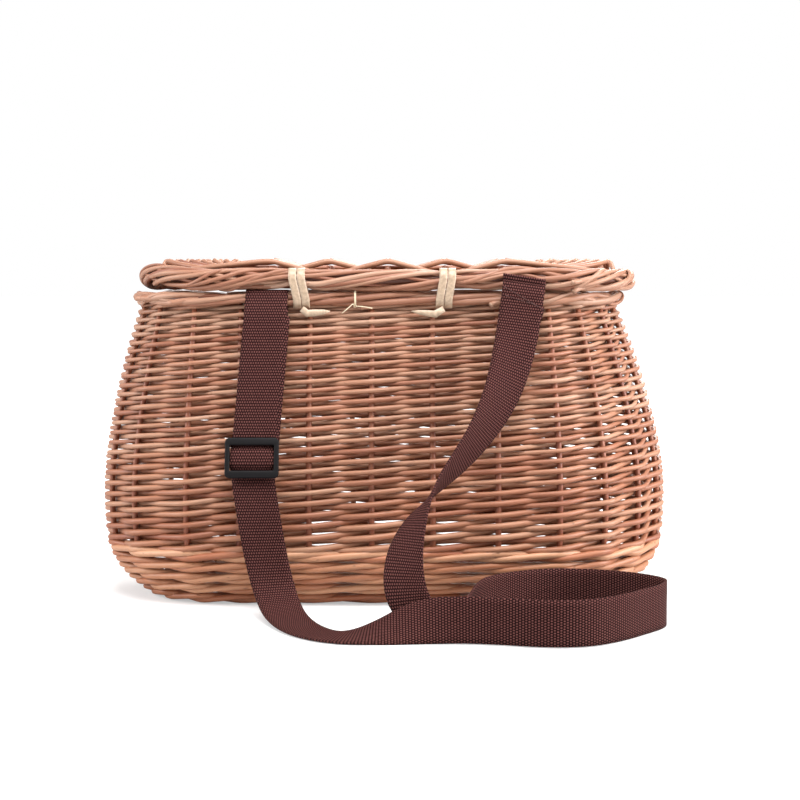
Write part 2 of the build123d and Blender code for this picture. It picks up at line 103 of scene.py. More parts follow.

# ---- borders ----
BORDER_RADIUS = 0.0054
BORDER_INSET = 0.002
BORDER_Z = RIM_Z + BORDER_RADIUS
LID_HALF = 0.1777
LID_SHIFT = 0.003
LID_BORDER_RADIUS = 0.008
LID_GAP = 0.002
LID_Z = BORDER_Z + BORDER_RADIUS + LID_GAP + LID_BORDER_RADIUS
HINGE_Y = -RIM_DEPTH / 2 + BORDER_INSET
FRONT_Y = RIM_DEPTH / 2 - BORDER_INSET
BODY_PLAN = (RIM_HALF, RIM_DEPTH, RIM_SHIFT)
LID_PLAN = (LID_HALF, RIM_DEPTH, LID_SHIFT)

# radius and height of a border where it is free, and where something is wrapped round it
BODY_FREE = (0.0055, BORDER_Z)
BODY_WRAPPED = (0.0053, BORDER_Z)
LID_FREE = (0.0085, LID_Z - 0.0018)
LID_WRAPPED = (0.0056, LID_Z - 0.0003)

LEFT_LOOP = (-0.0577, -0.0611)             # x of a cane loop at the body border and at the lid's
RIGHT_LOOP = (0.0432, 0.0458)
STRAP_ENDS = (-0.0822, 0.0995)             # x of the strap's ends, wrapped round the body border

# what is wrapped round a border: its x and half its width
BODY_WRAPS = [(loop[0], 0.0058) for loop in (LEFT_LOOP, RIGHT_LOOP)] + [(x, 0.017) for x in STRAP_ENDS]
LID_WRAPS = [(loop[1], 0.0052) for loop in (LEFT_LOOP, RIGHT_LOOP)]
WRAP_EASE = 0.0065         # length over which a border swells again beside a wrap
WRAP_FRONT = HINGE_Y + 0.02                # y past which there are no wraps

STRAP_RISES = [(x, 0.016) for x in STRAP_ENDS]
STRAP_LIFT = 0.0014        # how far the lid border rides up over the strap's two wraps
CORNER_LIFT = 0.0036       # how far the lid's back left corner has sprung up
CORNER_FROM = -0.125       # x at which it starts to rise
CORNER_RUN = (0.035, 0.03)                 # lengths over which it rises, leftwards and backwards

# layers of a border's rods: how many, stakes that each passes, radius, depth, whether they lean back
BODY_LAYERS = ((18, 4.0, 0.0026, 0.0, False), (6, 2.0, 0.0018, -0.0005, False),
               (16, 3.0, 0.0019, 0.0016, True))
LID_LAYERS = ((36, 4.5, 0.0021, 0.0, False), (10, 2.3, 0.0018, -0.0003, False),
              (26, 3.4, 0.0019, 0.002, True))
BODY_CORE = 0.4            # radius of what fills a border, as a share of the border's
LID_CORE = 0.5

# one rod of a border, with its angles in degrees from level outwards
ROLL_STRAY = 0.25          # how far its start strays, as a share of its room
ROLL_SPAN = (0.8, 1.2)
ROLL_THICK = (0.8, 1.12)
ROLL_LOW = (-135, -100)    # where it comes out below
ROLL_HIGH = (135, 175)     # where it dives in over the top
ROLL_WAVES = (0.8, 1.8)    # how often it wanders in and out
ROLL_WANDER = 0.0003
ROLL_SWAY = 5
ROLL_TIP = 0.68            # thickness of its tip, as a share of its butt's
ROLL_STEPS = 14
RISE_TO = 0.12             # share of its way at which it has come out
RISE_DEPTH = 0.001
DIVE_FROM = 0.6            # share of its way at which it starts to dive
DIVE_DEPTH = 0.0016

# cut ends that show: x, angle and radius
BODY_BUTTS = ((-0.148, -26, 0.0021), (-0.168, 0, 0.0022), (-0.1735, -2, 0.0018),
              (0.0765, -35, 0.0021), (-0.0155, -88, 0.0017))
LID_BUTTS = ((0.134, -55, 0.002), (0.1325, -10, 0.0017))
BUTT_WAY = ((-0.001, 0, -0.8), (0.0035, 3, 0.8), (0.018, 14, 2.2))     # along, turned, depth in radii
BUTT_TAPER = (1, 1, 0.9)
BUTT_TINTS = (0.5, 0.9)

# ---- lid and base ----
LID_WEAVE_Z = 0.2386
LID_WEAVE_INSET = 0.0085
LID_STICK_RADIUS = 0.0022
LID_ROD = 0.00185
LID_ROW_PITCH = 0.0039
LID_SWAY = 1.4             # how far a ring swings over its sticks, as a share of what clears them
LID_TUCK = 0.005           # how far the sticks' ends bend down into the border
LID_BEYOND = 0.009         # how far the sticks reach past the weave
BASE_Z = 0.009
BASE_INSET = 0.018
BASE_STICK_RADIUS = 0.0035
BASE_ROD = 0.0024
BASE_ROW_PITCH = 0.0056
BASE_SWAY = 1.1
BASE_BEYOND = 0.005
CROSS_STICKS = 5
CROSS_PITCH = 0.042
LONG_STICKS = 3
SLATH_HALF = 0.1           # where the bundled long sticks start to open
SLATH_ROOM = 1.03          # width of their bundle, as a share of theirs
SLATH_CLEAR = 0.002        # how far past the opening a ring first goes between them
FAN = 0.28                 # how far they open for each metre onwards
BUNDLE_RINGS = 3           # first rings, which take the long sticks as one
STICK_BENDS = (0.045, 0.085, 0.098, 0.11, 0.13, 0.15)
STICK_TINTS = (0.2, 0.6)
REACH_STEP = 0.0005        # step by which a long stick's end is found
RING_PARTS = 5
RING_STRAY = 0.0001
RING_VARIES = (0.95, 1.1)
RING_TAPER = (1.05, 0.85)

# ---- closing loop and peg ----
CLOSE_X = RIM_SHIFT
CLOSE_HALF = 0.012
CLOSE_REACH = 0.035
CLOSE_REST = radians(-60)
CLOSE_ROD = 0.0016
CLOSE_CANE = 0.0006        # the thinned ends that wind round the border
CLOSE_TURNS = 3.5
CLOSE_RING = BORDER_RADIUS + CLOSE_CANE + 0.0005
CLOSE_SIDE = ((CLOSE_HALF, 0.012), (CLOSE_HALF, 0.02), (CLOSE_HALF, CLOSE_REACH - 0.006),
              (CLOSE_HALF, CLOSE_REACH - 0.001), (0.007, CLOSE_REACH))     # aside and outwards
SWELL_FROM = 0.007         # how far out the rod starts to thicken
SWELL_RUN = 0.01
PEG_Z = 0.235
PEG_RADIUS = 0.003
PEG_SHAPE = ((0.072, -0.0006, 1), (0.08, 0, 1.02), (0.09, 0.0002, 0.97), (0.096, 0.0002, 0.92),
             (0.0985, 0.0001, 0.8), (0.099, 0.0001, 0.45))     # y, rise and share of its radius

# ---- cane and thread ----
CANE_WIDTH = 0.0056
CANE_THICK = 0.0011
WRAP_STEP = 0.0061         # from one wrap of cane to the next
LOOP_LOW = (BORDER_RADIUS + 0.0008, BORDER_Z)
LOOP_HIGH = (0.00695, LID_Z - 0.0007)
TAIL_Y = -0.0795
LEFT_TAIL = ((-0.0575, 0.2102, 0.0022), (-0.0535, 0.2069, 0.0026), (-0.048, 0.2073, 0.0024),
             (-0.042, 0.2079, 0.0018), (-0.0374, 0.2085, 0.0003))
RIGHT_TAIL = ((0.043, 0.2102, 0.0022), (0.037, 0.2064, 0.0026), (0.031, 0.207, 0.0022),
              (0.025, 0.2078, 0.0015), (0.0201, 0.2085, 0.0003))
TIE_THREAD = 0.00036
TIE_X = -0.02
TIE_WIDTH = 0.0014
TIE_TURNS = 2.1
TIE_RING = 0.0063
TIE_START = radians(205)
TIE_FIRST = ((-0.029, -0.0802, 0.207), (-0.024, -0.0797, 0.2112))
TIE_LAST = ((-0.016, -0.0797, 0.2122), (-0.0075, -0.08, 0.2105))

# ---- strap ----
STRAP_WIDTH = 0.030
STRAP_THICK = 0.0015
WEB_ROW = 0.0020           # pitch of the webbing's rows and of the dots in them
WEB_DOT = 0.00172
LAYER_STEP = 0.0017
STRAP_HANG = radians(15)
LEFT_LEAN = 0.075
WEB_ARC = BORDER_RADIUS + 0.0009           # radius of the webbing's way round the body border
LEFT_ARC = (165, -105)     # degrees from level inwards at which it starts and ends
RIGHT_ARC = (112, -100)
SLIDE_PLACE_Z = 0.1066
RETURN_TOP = 0.204         # where the second layer comes out from under the border
RETURN_BEND = (0.002, 0.005)               # how far in and up from there it turns
LAYER_ASIDE = 0.0025
LAYER_ENDS = (RETURN_TOP + 0.0005, SLIDE_PLACE_Z - 0.002)
LAYER_PARTS = 8
STRAP_ROUTE = (
    ((-0.0822, -0.0791, 0.2185), (1, 0, 0)),
    ((-0.0854, -0.0905, 0.176), (1, 0, 0)),
    ((-0.0885, -0.1015, 0.135), (1, 0, 0)),
    ((-0.0912, -0.1113, 0.0985), (1, 0, 0)),
    ((-0.0855, -0.1185, 0.066), (0.99, 0.1, 0)),
    ((-0.0805, -0.121, 0.038), (0.97, 0.2, 0)),
    ((-0.074, -0.126, 0.015), (0.93, 0.36, 0)),
    ((-0.066, -0.15, 0.004), (0.88, 0.47, 0)),
    ((-0.051, -0.184, 0.0011), (0.7, 0.71, 0)),
    ((-0.028, -0.2065, 0.001), (0.25, 0.97, 0)),
    ((-0.003, -0.2065, 0.0048), (0, 0.96, 0.28)),
    ((0.022, -0.2085, 0.0125), (0, 0.6, 0.8)),
    ((0.048, -0.216, 0.0153), (0, 0.1, 0.99)),
    ((0.076, -0.222, 0.0154), (0, 0, 1)),
    ((0.103, -0.2305, 0.0154), (0, 0, 1)),
    ((0.131, -0.229, 0.0154), (0, 0, 1)),
    ((0.154, -0.212, 0.0154), (0, 0, 1)),
    ((0.173, -0.189, 0.0154), (0, 0, 1)),
    ((0.188, -0.17, 0.0154), (0, 0, 1)),
    ((0.192, -0.151, 0.0154), (0, 0, 1)),
    ((0.181, -0.135, 0.0154), (0, 0, 1)),
    ((0.165, -0.123, 0.0154), (0, 0, 1)),
    ((0.145, -0.1145, 0.0154), (0, 0, 1)),
    ((0.119, -0.111, 0.0154), (0, 0, 1)),
    ((0.093, -0.122, 0.0154), (0, 0, 1)),
    ((0.072, -0.141, 0.0153), (0, 0, 1)),
    ((0.058, -0.163, 0.0148), (0.3, -0.17, 0.94)),
    ((0.047, -0.184, 0.012), (0.6, -0.35, 0.72)),
    ((0.03, -0.197, 0.0105), (0.85, -0.3, 0.43)),
    ((0.016, -0.198, 0.024), (0.94, -0.3, 0.15)),
    ((0.0135, -0.189, 0.048), (0.8, -0.6, 0)),
    ((0.021, -0.174, 0.072), (0.45, -0.85, 0.1)),
    ((0.0345, -0.156, 0.091), (0.05, -0.9, 0.42)),
    ((0.051, -0.141, 0.107), (-0.22, -0.82, 0.53)),
    ((0.066, -0.128, 0.124), (-0.42, -0.72, 0.55)),
    ((0.0815, -0.113, 0.149), (-0.72, -0.5, 0.48)),
    ((0.0905, -0.101, 0.176), (-0.92, -0.25, 0.3)),
    ((0.096, -0.09, 0.203), (-0.99, 0, 0.07)),
    ((0.0995, -0.0849, 0.2285), (-0.99, 0, 0.15)),
)

# the fold over the end of the right part, inwards and up from the end of the route
RIGHT_FOLD = ((0, 0), (0, 0.0026), (0, 0.0034), (0.0005, 0.004), (0.0015, 0.004), (0.002, 0.0032),
              (0.002, 0.0012), (0.0042, -0.0023))
RIGHT_END = ((0.0987, -0.0805, 0.2098), (0.0969, -0.0868, 0.203))
SEAMS = (((0.0849, 0.2262), (0.1134, 0.2093)), ((0.0859, 0.2199), (0.1081, 0.2128)))
SEAM_ROWS = 30             # last rows of the strap, among which its seams are
STITCH_PITCH = 0.0036
STITCH_LENGTH = 0.0026
STITCH_RADIUS = 0.00028
STITCH_SUNK = 0.0003       # how deep its ends are
STITCH_PROUD = 0.00018
STITCH_OFF = 0.0002        # how far off the strap's face it is laid
HUMP = ((-0.013, 0.00175), (-0.0086, 0.00175), (-0.0064, 0.0031), (-0.0042, 0.00505),
        (0.0042, 0.00505), (0.0064, 0.0031), (0.0086, 0.00175), (0.013, 0.00175))

# ---- slide adjuster ----
SLIDE_SIZE = (0.0374, 0.0282)
SLIDE_CORNER = 0.0032
SLIDE_EDGE = 0.0006
SLIDE_WINDOW = (0.0308, 0.018)
SLIDE_WINDOW_CORNER = 0.001
SLIDE_RAIL = (SLIDE_SIZE[0] - SLIDE_WINDOW[0]) / 2
RAIL_NARROWER = 0.0004     # how much narrower a rail is behind than in the face
RAIL_EDGE = 0.0004
CENTRE_BAR = 0.004
SLIDE_FACE = (0.00275, 0.0062)             # depths between which each part lies
RAIL_DEPTHS = (0.00115, 0.00375)
CENTRE_BAR_DEPTHS = (0.00125, 0.004)
SHARP_EDGE = radians(40)

# ---- camera and studio ----
CAMERA_PLACE = (0.012, -1.332, 0.241)
CAMERA_DIP = 4.36          # degrees below level
CAMERA_LENS = 79.65        # mm, as is the width of its frame
CAMERA_FRAME = 36
LAMPS = (("top_light", (0.1, -0.75, 1.7), (0, 0, 0.12), 1.1, 42),
         ("right_light", (1.7, -0.5, 0.7), (0.1, 0, 0.14), 1.0, 50),
         ("back_light", (0.3, 1.7, 1.1), (0, 0, 0.1), 1.0, 30),
         ("left_light", (-1.7, -0.4, 0.7), (-0.1, 0, 0.14), 1.0, 27))
BACKDROP_LIGHT = 0.3
FLOOR_HALF = 12
FLOOR_DROP = 0.0005
FLOOR_GREY = (0.6, 0.6, 0.6, 1)
FLOOR_ROUGH = 0.9
SHADOW_REACH = 0.3         # how far out the floor starts to get whiter
SHADOW_FADE = 1.6
FLOOR_GLOW = 0.45          # light of its own that the camera sees, and how much more further off
FLOOR_GLOW_MORE = 0.5

LEVEL = Vector((1, 0, 0))

chance = random.Random(11)


def stray(most):
    """How far a thing made by hand is off, either way."""
    return chance.uniform(-most, most)


# ---------------------------------------------------------------- plan of the basket

def size_at(z):
    """Half length, depth and sideways shift of the wall's outside at a height."""
    if z >= BELLY_Z:
        rise = (min(z, RIM_Z) - BELLY_Z) / (RIM_Z - BELLY_Z)
        share = rise ** SHOULDER_POWER
        return (BELLY_HALF + (RIM_HALF - BELLY_HALF) * share,
                BELLY_DEPTH + (RIM_DEPTH - BELLY_DEPTH) * rise ** FLANK_POWER,
                RIM_SHIFT * share)
    share = ((BELLY_Z - max(z, 0)) / BELLY_Z) ** FOOT_POWER
    return (BELLY_HALF + (BASE_HALF - BELLY_HALF) * share,
            BELLY_DEPTH + (BASE_DEPTH - BELLY_DEPTH) * share, 0.0)


class Plan:
    """D-shaped outline: straight back, round ends, shallow front. Walked from its back left."""

    def __init__(self, size, inset):
        half, depth, self.shift = size
        end = half - FLAT_HALF
        self.end_y = -depth / 2 + end
        front = depth / 2 + FLAT_HALF ** 2 / (2 * (depth - 2 * end))
        self.front_y = depth / 2 - front
        self.joint = atan2(self.end_y - self.front_y, FLAT_HALF)
        self.end = end - inset
        self.front = front - inset
        self.back_length = 2 * FLAT_HALF
        self.end_length = self.end * (self.joint + pi / 2)
        self.front_length = self.front * (pi - 2 * self.joint)
        self.length = self.back_length + 2 * self.end_length + self.front_length

    def at(self, distance):
        """Point of the outline and its outward direction, at a distance round it."""
        way = distance % self.length
        if way < self.back_length:
            back = Vector((way - FLAT_HALF + self.shift, self.end_y - self.end, 0))
            return back, Vector((0, -1, 0))
        way -= self.back_length
        if way < self.end_length:
            return self.on_arc(FLAT_HALF, self.end_y, self.end, way / self.end - pi / 2)
        way -= self.end_length
        if way < self.front_length:
            return self.on_arc(0, self.front_y, self.front, self.joint + way / self.front)
        way -= self.front_length
        return self.on_arc(-FLAT_HALF, self.end_y, self.end, pi - self.joint + way / self.end)

    def on_arc(self, x, y, radius, angle):
        out = Vector((cos(angle), sin(angle), 0))
        return Vector((x + self.shift, y, 0)) + out * radius, out

    def distance(self, place):
        """How far round the outline a stake's place is."""
        stretch, value = place
        if stretch == "back":
            return value - self.shift + FLAT_HALF
        if stretch == "right":
            return self.back_length + self.end * (value + pi / 2)
        if stretch == "front":
            turn = math.acos(value / self.front) - self.joint
            return self.back_length + self.end_length + self.front * turn
        return (self.back_length + self.end_length + self.front_length
                + self.end * (self.joint - value))


def stake_places():
    """The stakes in order round the basket, from the back's left."""
    places = [("back", x) for x in BACK_STAKES]
    places += [("right", radians(a - 90)) for a in RIGHT_STAKES]
    places += [("front", ((FRONT_STAKES - 1) / 2 - n) * FRONT_PITCH) for n in range(FRONT_STAKES)]
    places += [("left", radians(a - 90)) for a in reversed(LEFT_STAKES)]
    return places


STAKES = stake_places()


def wall_point(stake, z, inset):
    """Point at a stake, a way inside the wall's outline."""
    plan = Plan(size_at(z), inset)
    point, _ = plan.at(plan.distance(STAKES[stake % len(STAKES)]))
    point.z = z
    return point


def between(a, b, share):
    return a + (b - a) * share


def side_point(index, z, inset):
    """Point on the straight way from stake to stake, at a number of stakes, whole or not."""
    stake = math.floor(index)
    return between(wall_point(stake, z, inset), wall_point(stake + 1, z, inset), index - stake)


def past_stakes(plan, index):
    """Distance round a plan at a number of stakes, whole or not, counted from the first."""
    whole = math.floor(index)
    turns, stake = divmod(whole, len(STAKES))
    here = plan.distance(STAKES[stake])
    ahead = plan.distance(STAKES[(stake + 1) % len(STAKES)])
    if ahead < here:
        ahead += plan.length
    return turns * plan.length + here + (ahead - here) * (index - whole)


# ---------------------------------------------------------------- rods

class Rod:
    """One willow rod: the points that it bends between, its radius at each, its own shade."""

    def __init__(self, points, radii, closed=False, tint=None):
        self.points = points
        self.radii = radii if hasattr(radii, "__len__") else [radii] * len(points)
        self.closed = closed
        self.tint = chance.random() if tint is None else tint


def lay_rods(name, rods, finish, body, stands_for=(), steps=3, roundness=2):
    """One piece of many rods, each a round curve turned into a mesh with closed ends."""
    line = bpy.data.curves.new(name + "_line", "CURVE")
    line.dimensions = "3D"
    line.bevel_depth = 1.0
    line.bevel_resolution = roundness
    line.use_fill_caps = True
    carrier = bpy.data.objects.new(name + "_line", line)
    bm = bmesh.new()
    for rod in rods:
        line.splines.clear()
        spline = line.splines.new("NURBS")
        spline.points.add(len(rod.points) - 1)
        for knot, place, radius in zip(spline.points, rod.points, rod.radii):
            knot.co = (*place, 1)
            knot.radius = radius
        spline.order_u = 3
        spline.use_endpoint_u = not rod.closed
        spline.use_cyclic_u = rod.closed
        spline.resolution_u = steps
        made = bpy.data.meshes.new_from_object(carrier)
        mark_shade(made, rod.tint)
        stretch_uv(made, sum((b - a).length for a, b in zip(rod.points, rod.points[1:])))
        bm.from_mesh(made)
        bpy.data.meshes.remove(made)
    bmesh.ops.remove_doubles(bm, verts=bm.verts, dist=2e-6)
    for face in bm.faces:
        face.smooth = True
    bpy.data.objects.remove(carrier)
    bpy.data.curves.remove(line)
    return finish_piece(name, bm, finish, body, stands_for)


def mark_shade(mesh, tint):
    """Gives every face the rod's shade, but for the triangles that close its ends."""
    sides = np.empty(len(mesh.polygons), np.int32)
    mesh.polygons.foreach_get("loop_total", sides)
    shades = np.where(sides == 3, CUT_END, tint).astype(np.float32)
    mesh.attributes.new("tint", "FLOAT", "FACE").data.foreach_set("value", shades)


def stretch_uv(mesh, length):
    """Makes the along-the-rod coordinate a length in metres."""
    layer = mesh.uv_layers[0].data
    flat = np.empty(len(layer) * 2, np.float32)
    layer.foreach_get("uv", flat)
    flat[0::2] *= length
    layer.foreach_set("uv", flat)


def finish_piece(name, bm, finish, body, stands_for):
    mesh = bpy.data.meshes.new(name)
    bm.to_mesh(mesh)
    bm.free()
    mesh.materials.append(finish)
    piece = bpy.data.objects.new(name, mesh)
    bpy.context.scene.collection.objects.link(piece)
    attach(piece, body)
    if stands_for:
        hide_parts(*stands_for)
    return piece


# ---------------------------------------------------------------- colours and finishes

def tone(red, green, blue):
    """A colour given as it looks on a screen, 0 to 255, for a shader's socket."""
    linear = [((c / 255 + 0.055) / 1.055) ** 2.4 if c > 10 else c / 255 / 12.92
              for c in (red, green, blue)]
    return (*linear, 1.0)


class Wiring:
    """Sets and joins the nodes of a material, a world or a node group."""

    def __init__(self, tree):
        self.tree = tree

    def node(self, kind, **settings):
        made = self.tree.nodes.new(kind)
        for key, value in settings.items():
            setattr(made, key, value)
        return made

    def link(self, source, target):
        self.tree.links.new(source, target)

    def feed(self, socket, value):
        if isinstance(value, bpy.types.NodeSocket):
            self.link(value, socket)
        else:
            socket.default_value = value

    def math(self, operation, a, b=None, clamp=False):
        made = self.node("ShaderNodeMath", operation=operation, use_clamp=clamp)
        self.feed(made.inputs[0], a)
        if b is not None:
            self.feed(made.inputs[1], b)
        return made.outputs[0]

    def noise(self, vector, scale, detail=2.0, roughness=0.5):
        made = self.node("ShaderNodeTexNoise")
        self.link(vector, made.inputs["Vector"])
        made.inputs["Scale"].default_value = scale
        made.inputs["Detail"].default_value = detail
        made.inputs["Roughness"].default_value = roughness
        return made.outputs["Fac"]

    def stretched_noise(self, vector, scales, detail, roughness=0.5):
        """Noise with a scale of its own along the piece and round or across it."""
        made = self.node("ShaderNodeVectorMath", operation="MULTIPLY")
        self.link(vector, made.inputs[0])
        made.inputs[1].default_value = (*scales, 1.0)
        return self.noise(made.outputs[0], 1.0, detail, roughness)

    def ramp(self, factor, stops):
        made = self.node("ShaderNodeValToRGB")
        band = made.color_ramp
        while len(band.elements) < len(stops):
            band.elements.new(0.5)
        for element, (place, colour) in zip(band.elements, stops):
            element.position = place
            element.color = colour
        self.feed(made.inputs["Fac"], factor)
        return made.outputs["Color"]

    def mix(self, factor, a, b, blend="MIX"):
        made = self.node("ShaderNodeMix", data_type="RGBA", blend_type=blend)
        self.feed(made.inputs[0], factor)
        self.feed(made.inputs[6], a)
        self.feed(made.inputs[7], b)
        return made.outputs[2]

    def bump(self, height, strength, depth, surface):
        made = self.node("ShaderNodeBump")
        made.inputs["Strength"].default_value = strength
        made.inputs["Distance"].default_value = depth
        self.link(height, made.inputs["Height"])
        self.link(made.outputs[0], surface.inputs["Normal"])


def new_material(name, roughness, specular):
    made = bpy.data.materials.new(name)
    made.use_nodes = True
    surface = made.node_tree.nodes["Principled BSDF"]
    surface.inputs["Roughness"].default_value = roughness
    surface.inputs["Specular IOR Level"].default_value = specular
    return made, Wiring(made.node_tree), surface


def new_group(name, takes, gives):
    """An empty node group with one named value in and some out."""
    group = bpy.data.node_groups.new(name, "ShaderNodeTree")
    group.interface.new_socket(takes, in_out="INPUT", socket_type="NodeSocketFloat")
    for given in gives:
        group.interface.new_socket(given, in_out="OUTPUT", socket_type="NodeSocketFloat")
    wire = Wiring(group)
    taken = wire.node("NodeGroupInput").outputs[takes]
    return group, wire, taken, wire.node("NodeGroupOutput").inputs


STREAK_SCALES = (25, 9)    # to a metre of rod, and to its girth
BLOTCH_SCALES = (14, 0.8)
SPECK_SCALES = (160, 5)
TINT_APART = (37.0, 91.0)  # how far apart the noise of two rods lies, along and in depth
TINT_SHARE = 0.45
BLOTCH_SHARE = 0.5
SPECK_FROM = 0.70
SPECK_SHARP = 9.0
SPECK_HEIGHT = 0.4


def grain_group():
    """Streaks, blotches and specks of a peeled rod, from its length, its girth and its shade."""
    group, wire, streak, gives = new_group("rod_grain", "Streak", ("Shade", "Speck", "Height"))
    uv = wire.node("ShaderNodeUVMap", uv_map="UVMap").outputs[0]
    tint = wire.node("ShaderNodeAttribute", attribute_name="tint").outputs["Fac"]
    shift = wire.node("ShaderNodeCombineXYZ")
    wire.link(wire.math("MULTIPLY", tint, TINT_APART[0]), shift.inputs[0])
    wire.link(wire.math("MULTIPLY", tint, TINT_APART[1]), shift.inputs[2])
    moved = wire.node("ShaderNodeVectorMath", operation="ADD")
    wire.link(uv, moved.inputs[0])
    wire.link(shift.outputs[0], moved.inputs[1])
    place = moved.outputs[0]
    streaks = wire.stretched_noise(place, STREAK_SCALES, 4, 0.6)
    blotches = wire.stretched_noise(place, BLOTCH_SCALES, 2)
    specks = wire.stretched_noise(place, SPECK_SCALES, 1)
    shade = wire.math("MULTIPLY", tint, TINT_SHARE)
    shade = wire.math("ADD", shade, wire.math("MULTIPLY", blotches, BLOTCH_SHARE))
    streaked = wire.math("MULTIPLY", wire.math("SUBTRACT", streaks, 0.5), streak)
    wire.link(wire.math("ADD", shade, streaked), gives["Shade"])
    above = wire.math("SUBTRACT", specks, SPECK_FROM)
    wire.link(wire.math("MULTIPLY", above, SPECK_SHARP, clamp=True), gives["Speck"])
    raised = wire.math("MULTIPLY", specks, SPECK_HEIGHT)
    wire.link(wire.math("ADD", streaks, raised), gives["Height"])
    return group


GRAIN = grain_group()
WILLOW_STREAK = 0.4
WILLOW_STOPS = (0.0, 0.12, 0.48, 0.85)     # shades at which a rod takes its painted-shade colour, dark, middling and light
PAINTED_SHADE_SHARE = 0.5       # the painted-shade colour, as a share of the dark one: shade painted on what lies deep in a border, and on the darkest grain of the darkest rods
SPECK_COLOUR = tone(120, 80, 52)


def willow(name, dark, middle, light):
    made, wire, surface = new_material(name, roughness=0.5, specular=0.6)
    grain = wire.node("ShaderNodeGroup", node_tree=GRAIN)
    grain.inputs["Streak"].default_value = WILLOW_STREAK
    # the colour under dark is painted shade, which a border's core takes
    painted_shade = (*[c * PAINTED_SHADE_SHARE for c in dark[:3]], 1)
    stops = list(zip(WILLOW_STOPS, (painted_shade, dark, middle, light)))
    colour = wire.ramp(grain.outputs["Shade"], stops)
    colour = wire.mix(grain.outputs["Speck"], colour, SPECK_COLOUR)
    # the rods are a little more orange towards the foot
    height = wire.node("ShaderNodeSeparateXYZ")
    wire.link(wire.node("ShaderNodeTexCoord").outputs["Object"], height.inputs[0])
    rise = wire.math("DIVIDE", height.outputs[2], FOOT_TINT_TOP)
    low = wire.math("SUBTRACT", 1.0, rise, clamp=True)
    colour = wire.mix(low, colour, wire.mix(1.0, colour, FOOT_TINT, "MULTIPLY"))
    wire.link(colour, surface.inputs["Base Color"])
    wire.bump(grain.outputs["Height"], 0.25, 0.0004, surface)
    return made


RIDGE_SHARE = 0.62         # how much of the webbing's relief is the ridges of its rows
DOT_SHARE = 0.38           # and how much is the dots in them
FIBRE_SCALES = (700, 500)
FIBRE_HEIGHT = 0.4
FIBRE_SHADE = 0.3
KNOT_SHARP = 1.6


def webbing_group():
    """Plain-woven webbing, from metric coordinates: across and along the band."""
    group, wire, threads, gives = new_group("webbing_weave", "Threads", ("Height", "Knots"))
    uv = wire.node("ShaderNodeUVMap", uv_map="UVMap").outputs[0]
    parts = wire.node("ShaderNodeSeparateXYZ")
    wire.link(uv, parts.inputs[0])
    rows = wire.math("COSINE", wire.math("MULTIPLY", parts.outputs[1], pi / WEB_ROW))
    dots = wire.math("COSINE", wire.math("MULTIPLY", parts.outputs[0], 2 * pi / WEB_DOT))
    # each row is a ridge of dots, those of one row between those of the next
    ridges = wire.math("MULTIPLY", wire.math("ABSOLUTE", rows), RIDGE_SHARE)
    dotted = wire.math("MULTIPLY", wire.math("MULTIPLY", rows, dots), DOT_SHARE)
    grid = wire.math("ADD", ridges, dotted)
    fibres = wire.stretched_noise(uv, FIBRE_SCALES, 2)
    relief = wire.math("ADD", grid, wire.math("MULTIPLY", fibres, FIBRE_HEIGHT))
    wire.link(relief, gives["Height"])
    shade = wire.math("ADD", grid, wire.math("MULTIPLY", fibres, FIBRE_SHADE))
    knots = wire.math("SUBTRACT", shade, threads)
    wire.link(wire.math("MULTIPLY", knots, KNOT_SHARP, clamp=True), gives["Knots"])
    return group


WEBBING = webbing_group()


def webbing(name, deep, thread):
    made, wire, surface = new_material(name, roughness=0.8, specular=0.08)
    weave = wire.node("ShaderNodeGroup", node_tree=WEBBING)
    weave.inputs["Threads"].default_value = 0.4
    colour = wire.mix(weave.outputs["Knots"], deep, thread)
    wire.link(colour, surface.inputs["Base Color"])
    wire.bump(weave.outputs["Height"], 0.6, 0.0005, surface)
    return made


PLAIN_STOPS = (0.35, 0.65)
PLAIN_SHARES = (0.82, 1.12)                # the colour's darkest and lightest, as shares of it


def plain(name, colour, roughness, grain_scale, grain_depth, specular=0.5):
    """A finish with a fine surface of its own, on Object coordinates."""
    made, wire, surface = new_material(name, roughness, specular)
    grain = wire.noise(wire.node("ShaderNodeTexCoord").outputs["Object"], grain_scale, 3)
    shades = [(*[min(1, c * share) for c in colour[:3]], 1) for share in PLAIN_SHARES]
    wire.link(wire.ramp(grain, list(zip(PLAIN_STOPS, shades))), surface.inputs["Base Color"])
    wire.bump(grain, 0.3, grain_depth, surface)
    return made


WILLOW = willow("buff_willow", tone(128, 68, 42), tone(156, 106, 79), tone(174, 136, 112))
# a lighter copy of the willow for the wale: painted light, standing in for the light that the white floor
# throws up onto the rods that curve under
LIT_WALE_WILLOW = willow("lit_wale_willow", tone(148, 86, 56), tone(176, 126, 95), tone(194, 154, 126))
BORDER_WILLOW = willow("border_willow", tone(118, 60, 34), tone(158, 109, 83), tone(180, 144, 121))
# darker and redder than the weavers: painted shade for the gaps of the side, where the stakes show
# between the rods; the base's and the lid's sticks share it
SHADED_STICK_WILLOW = willow("shaded_stick_willow", tone(112, 50, 26), tone(146, 84, 54), tone(170, 116, 84))
CANE = plain("split_cane", tone(182, 158, 134), 0.4, 500, 0.0001)
THREAD = plain("tying_thread", tone(225, 210, 180), 0.8, 4000, 0.0002)
WEB = webbing("brown_webbing", tone(22, 4, 4), tone(108, 66, 62))
SEAM = plain("seam_thread", tone(74, 42, 39), 0.8, 4000, 0.0001)
PLASTIC = plain("slide_plastic", tone(4, 2, 4), 0.5, 3000, 0.00004, 0.18)


# ---------------------------------------------------------------- side weave

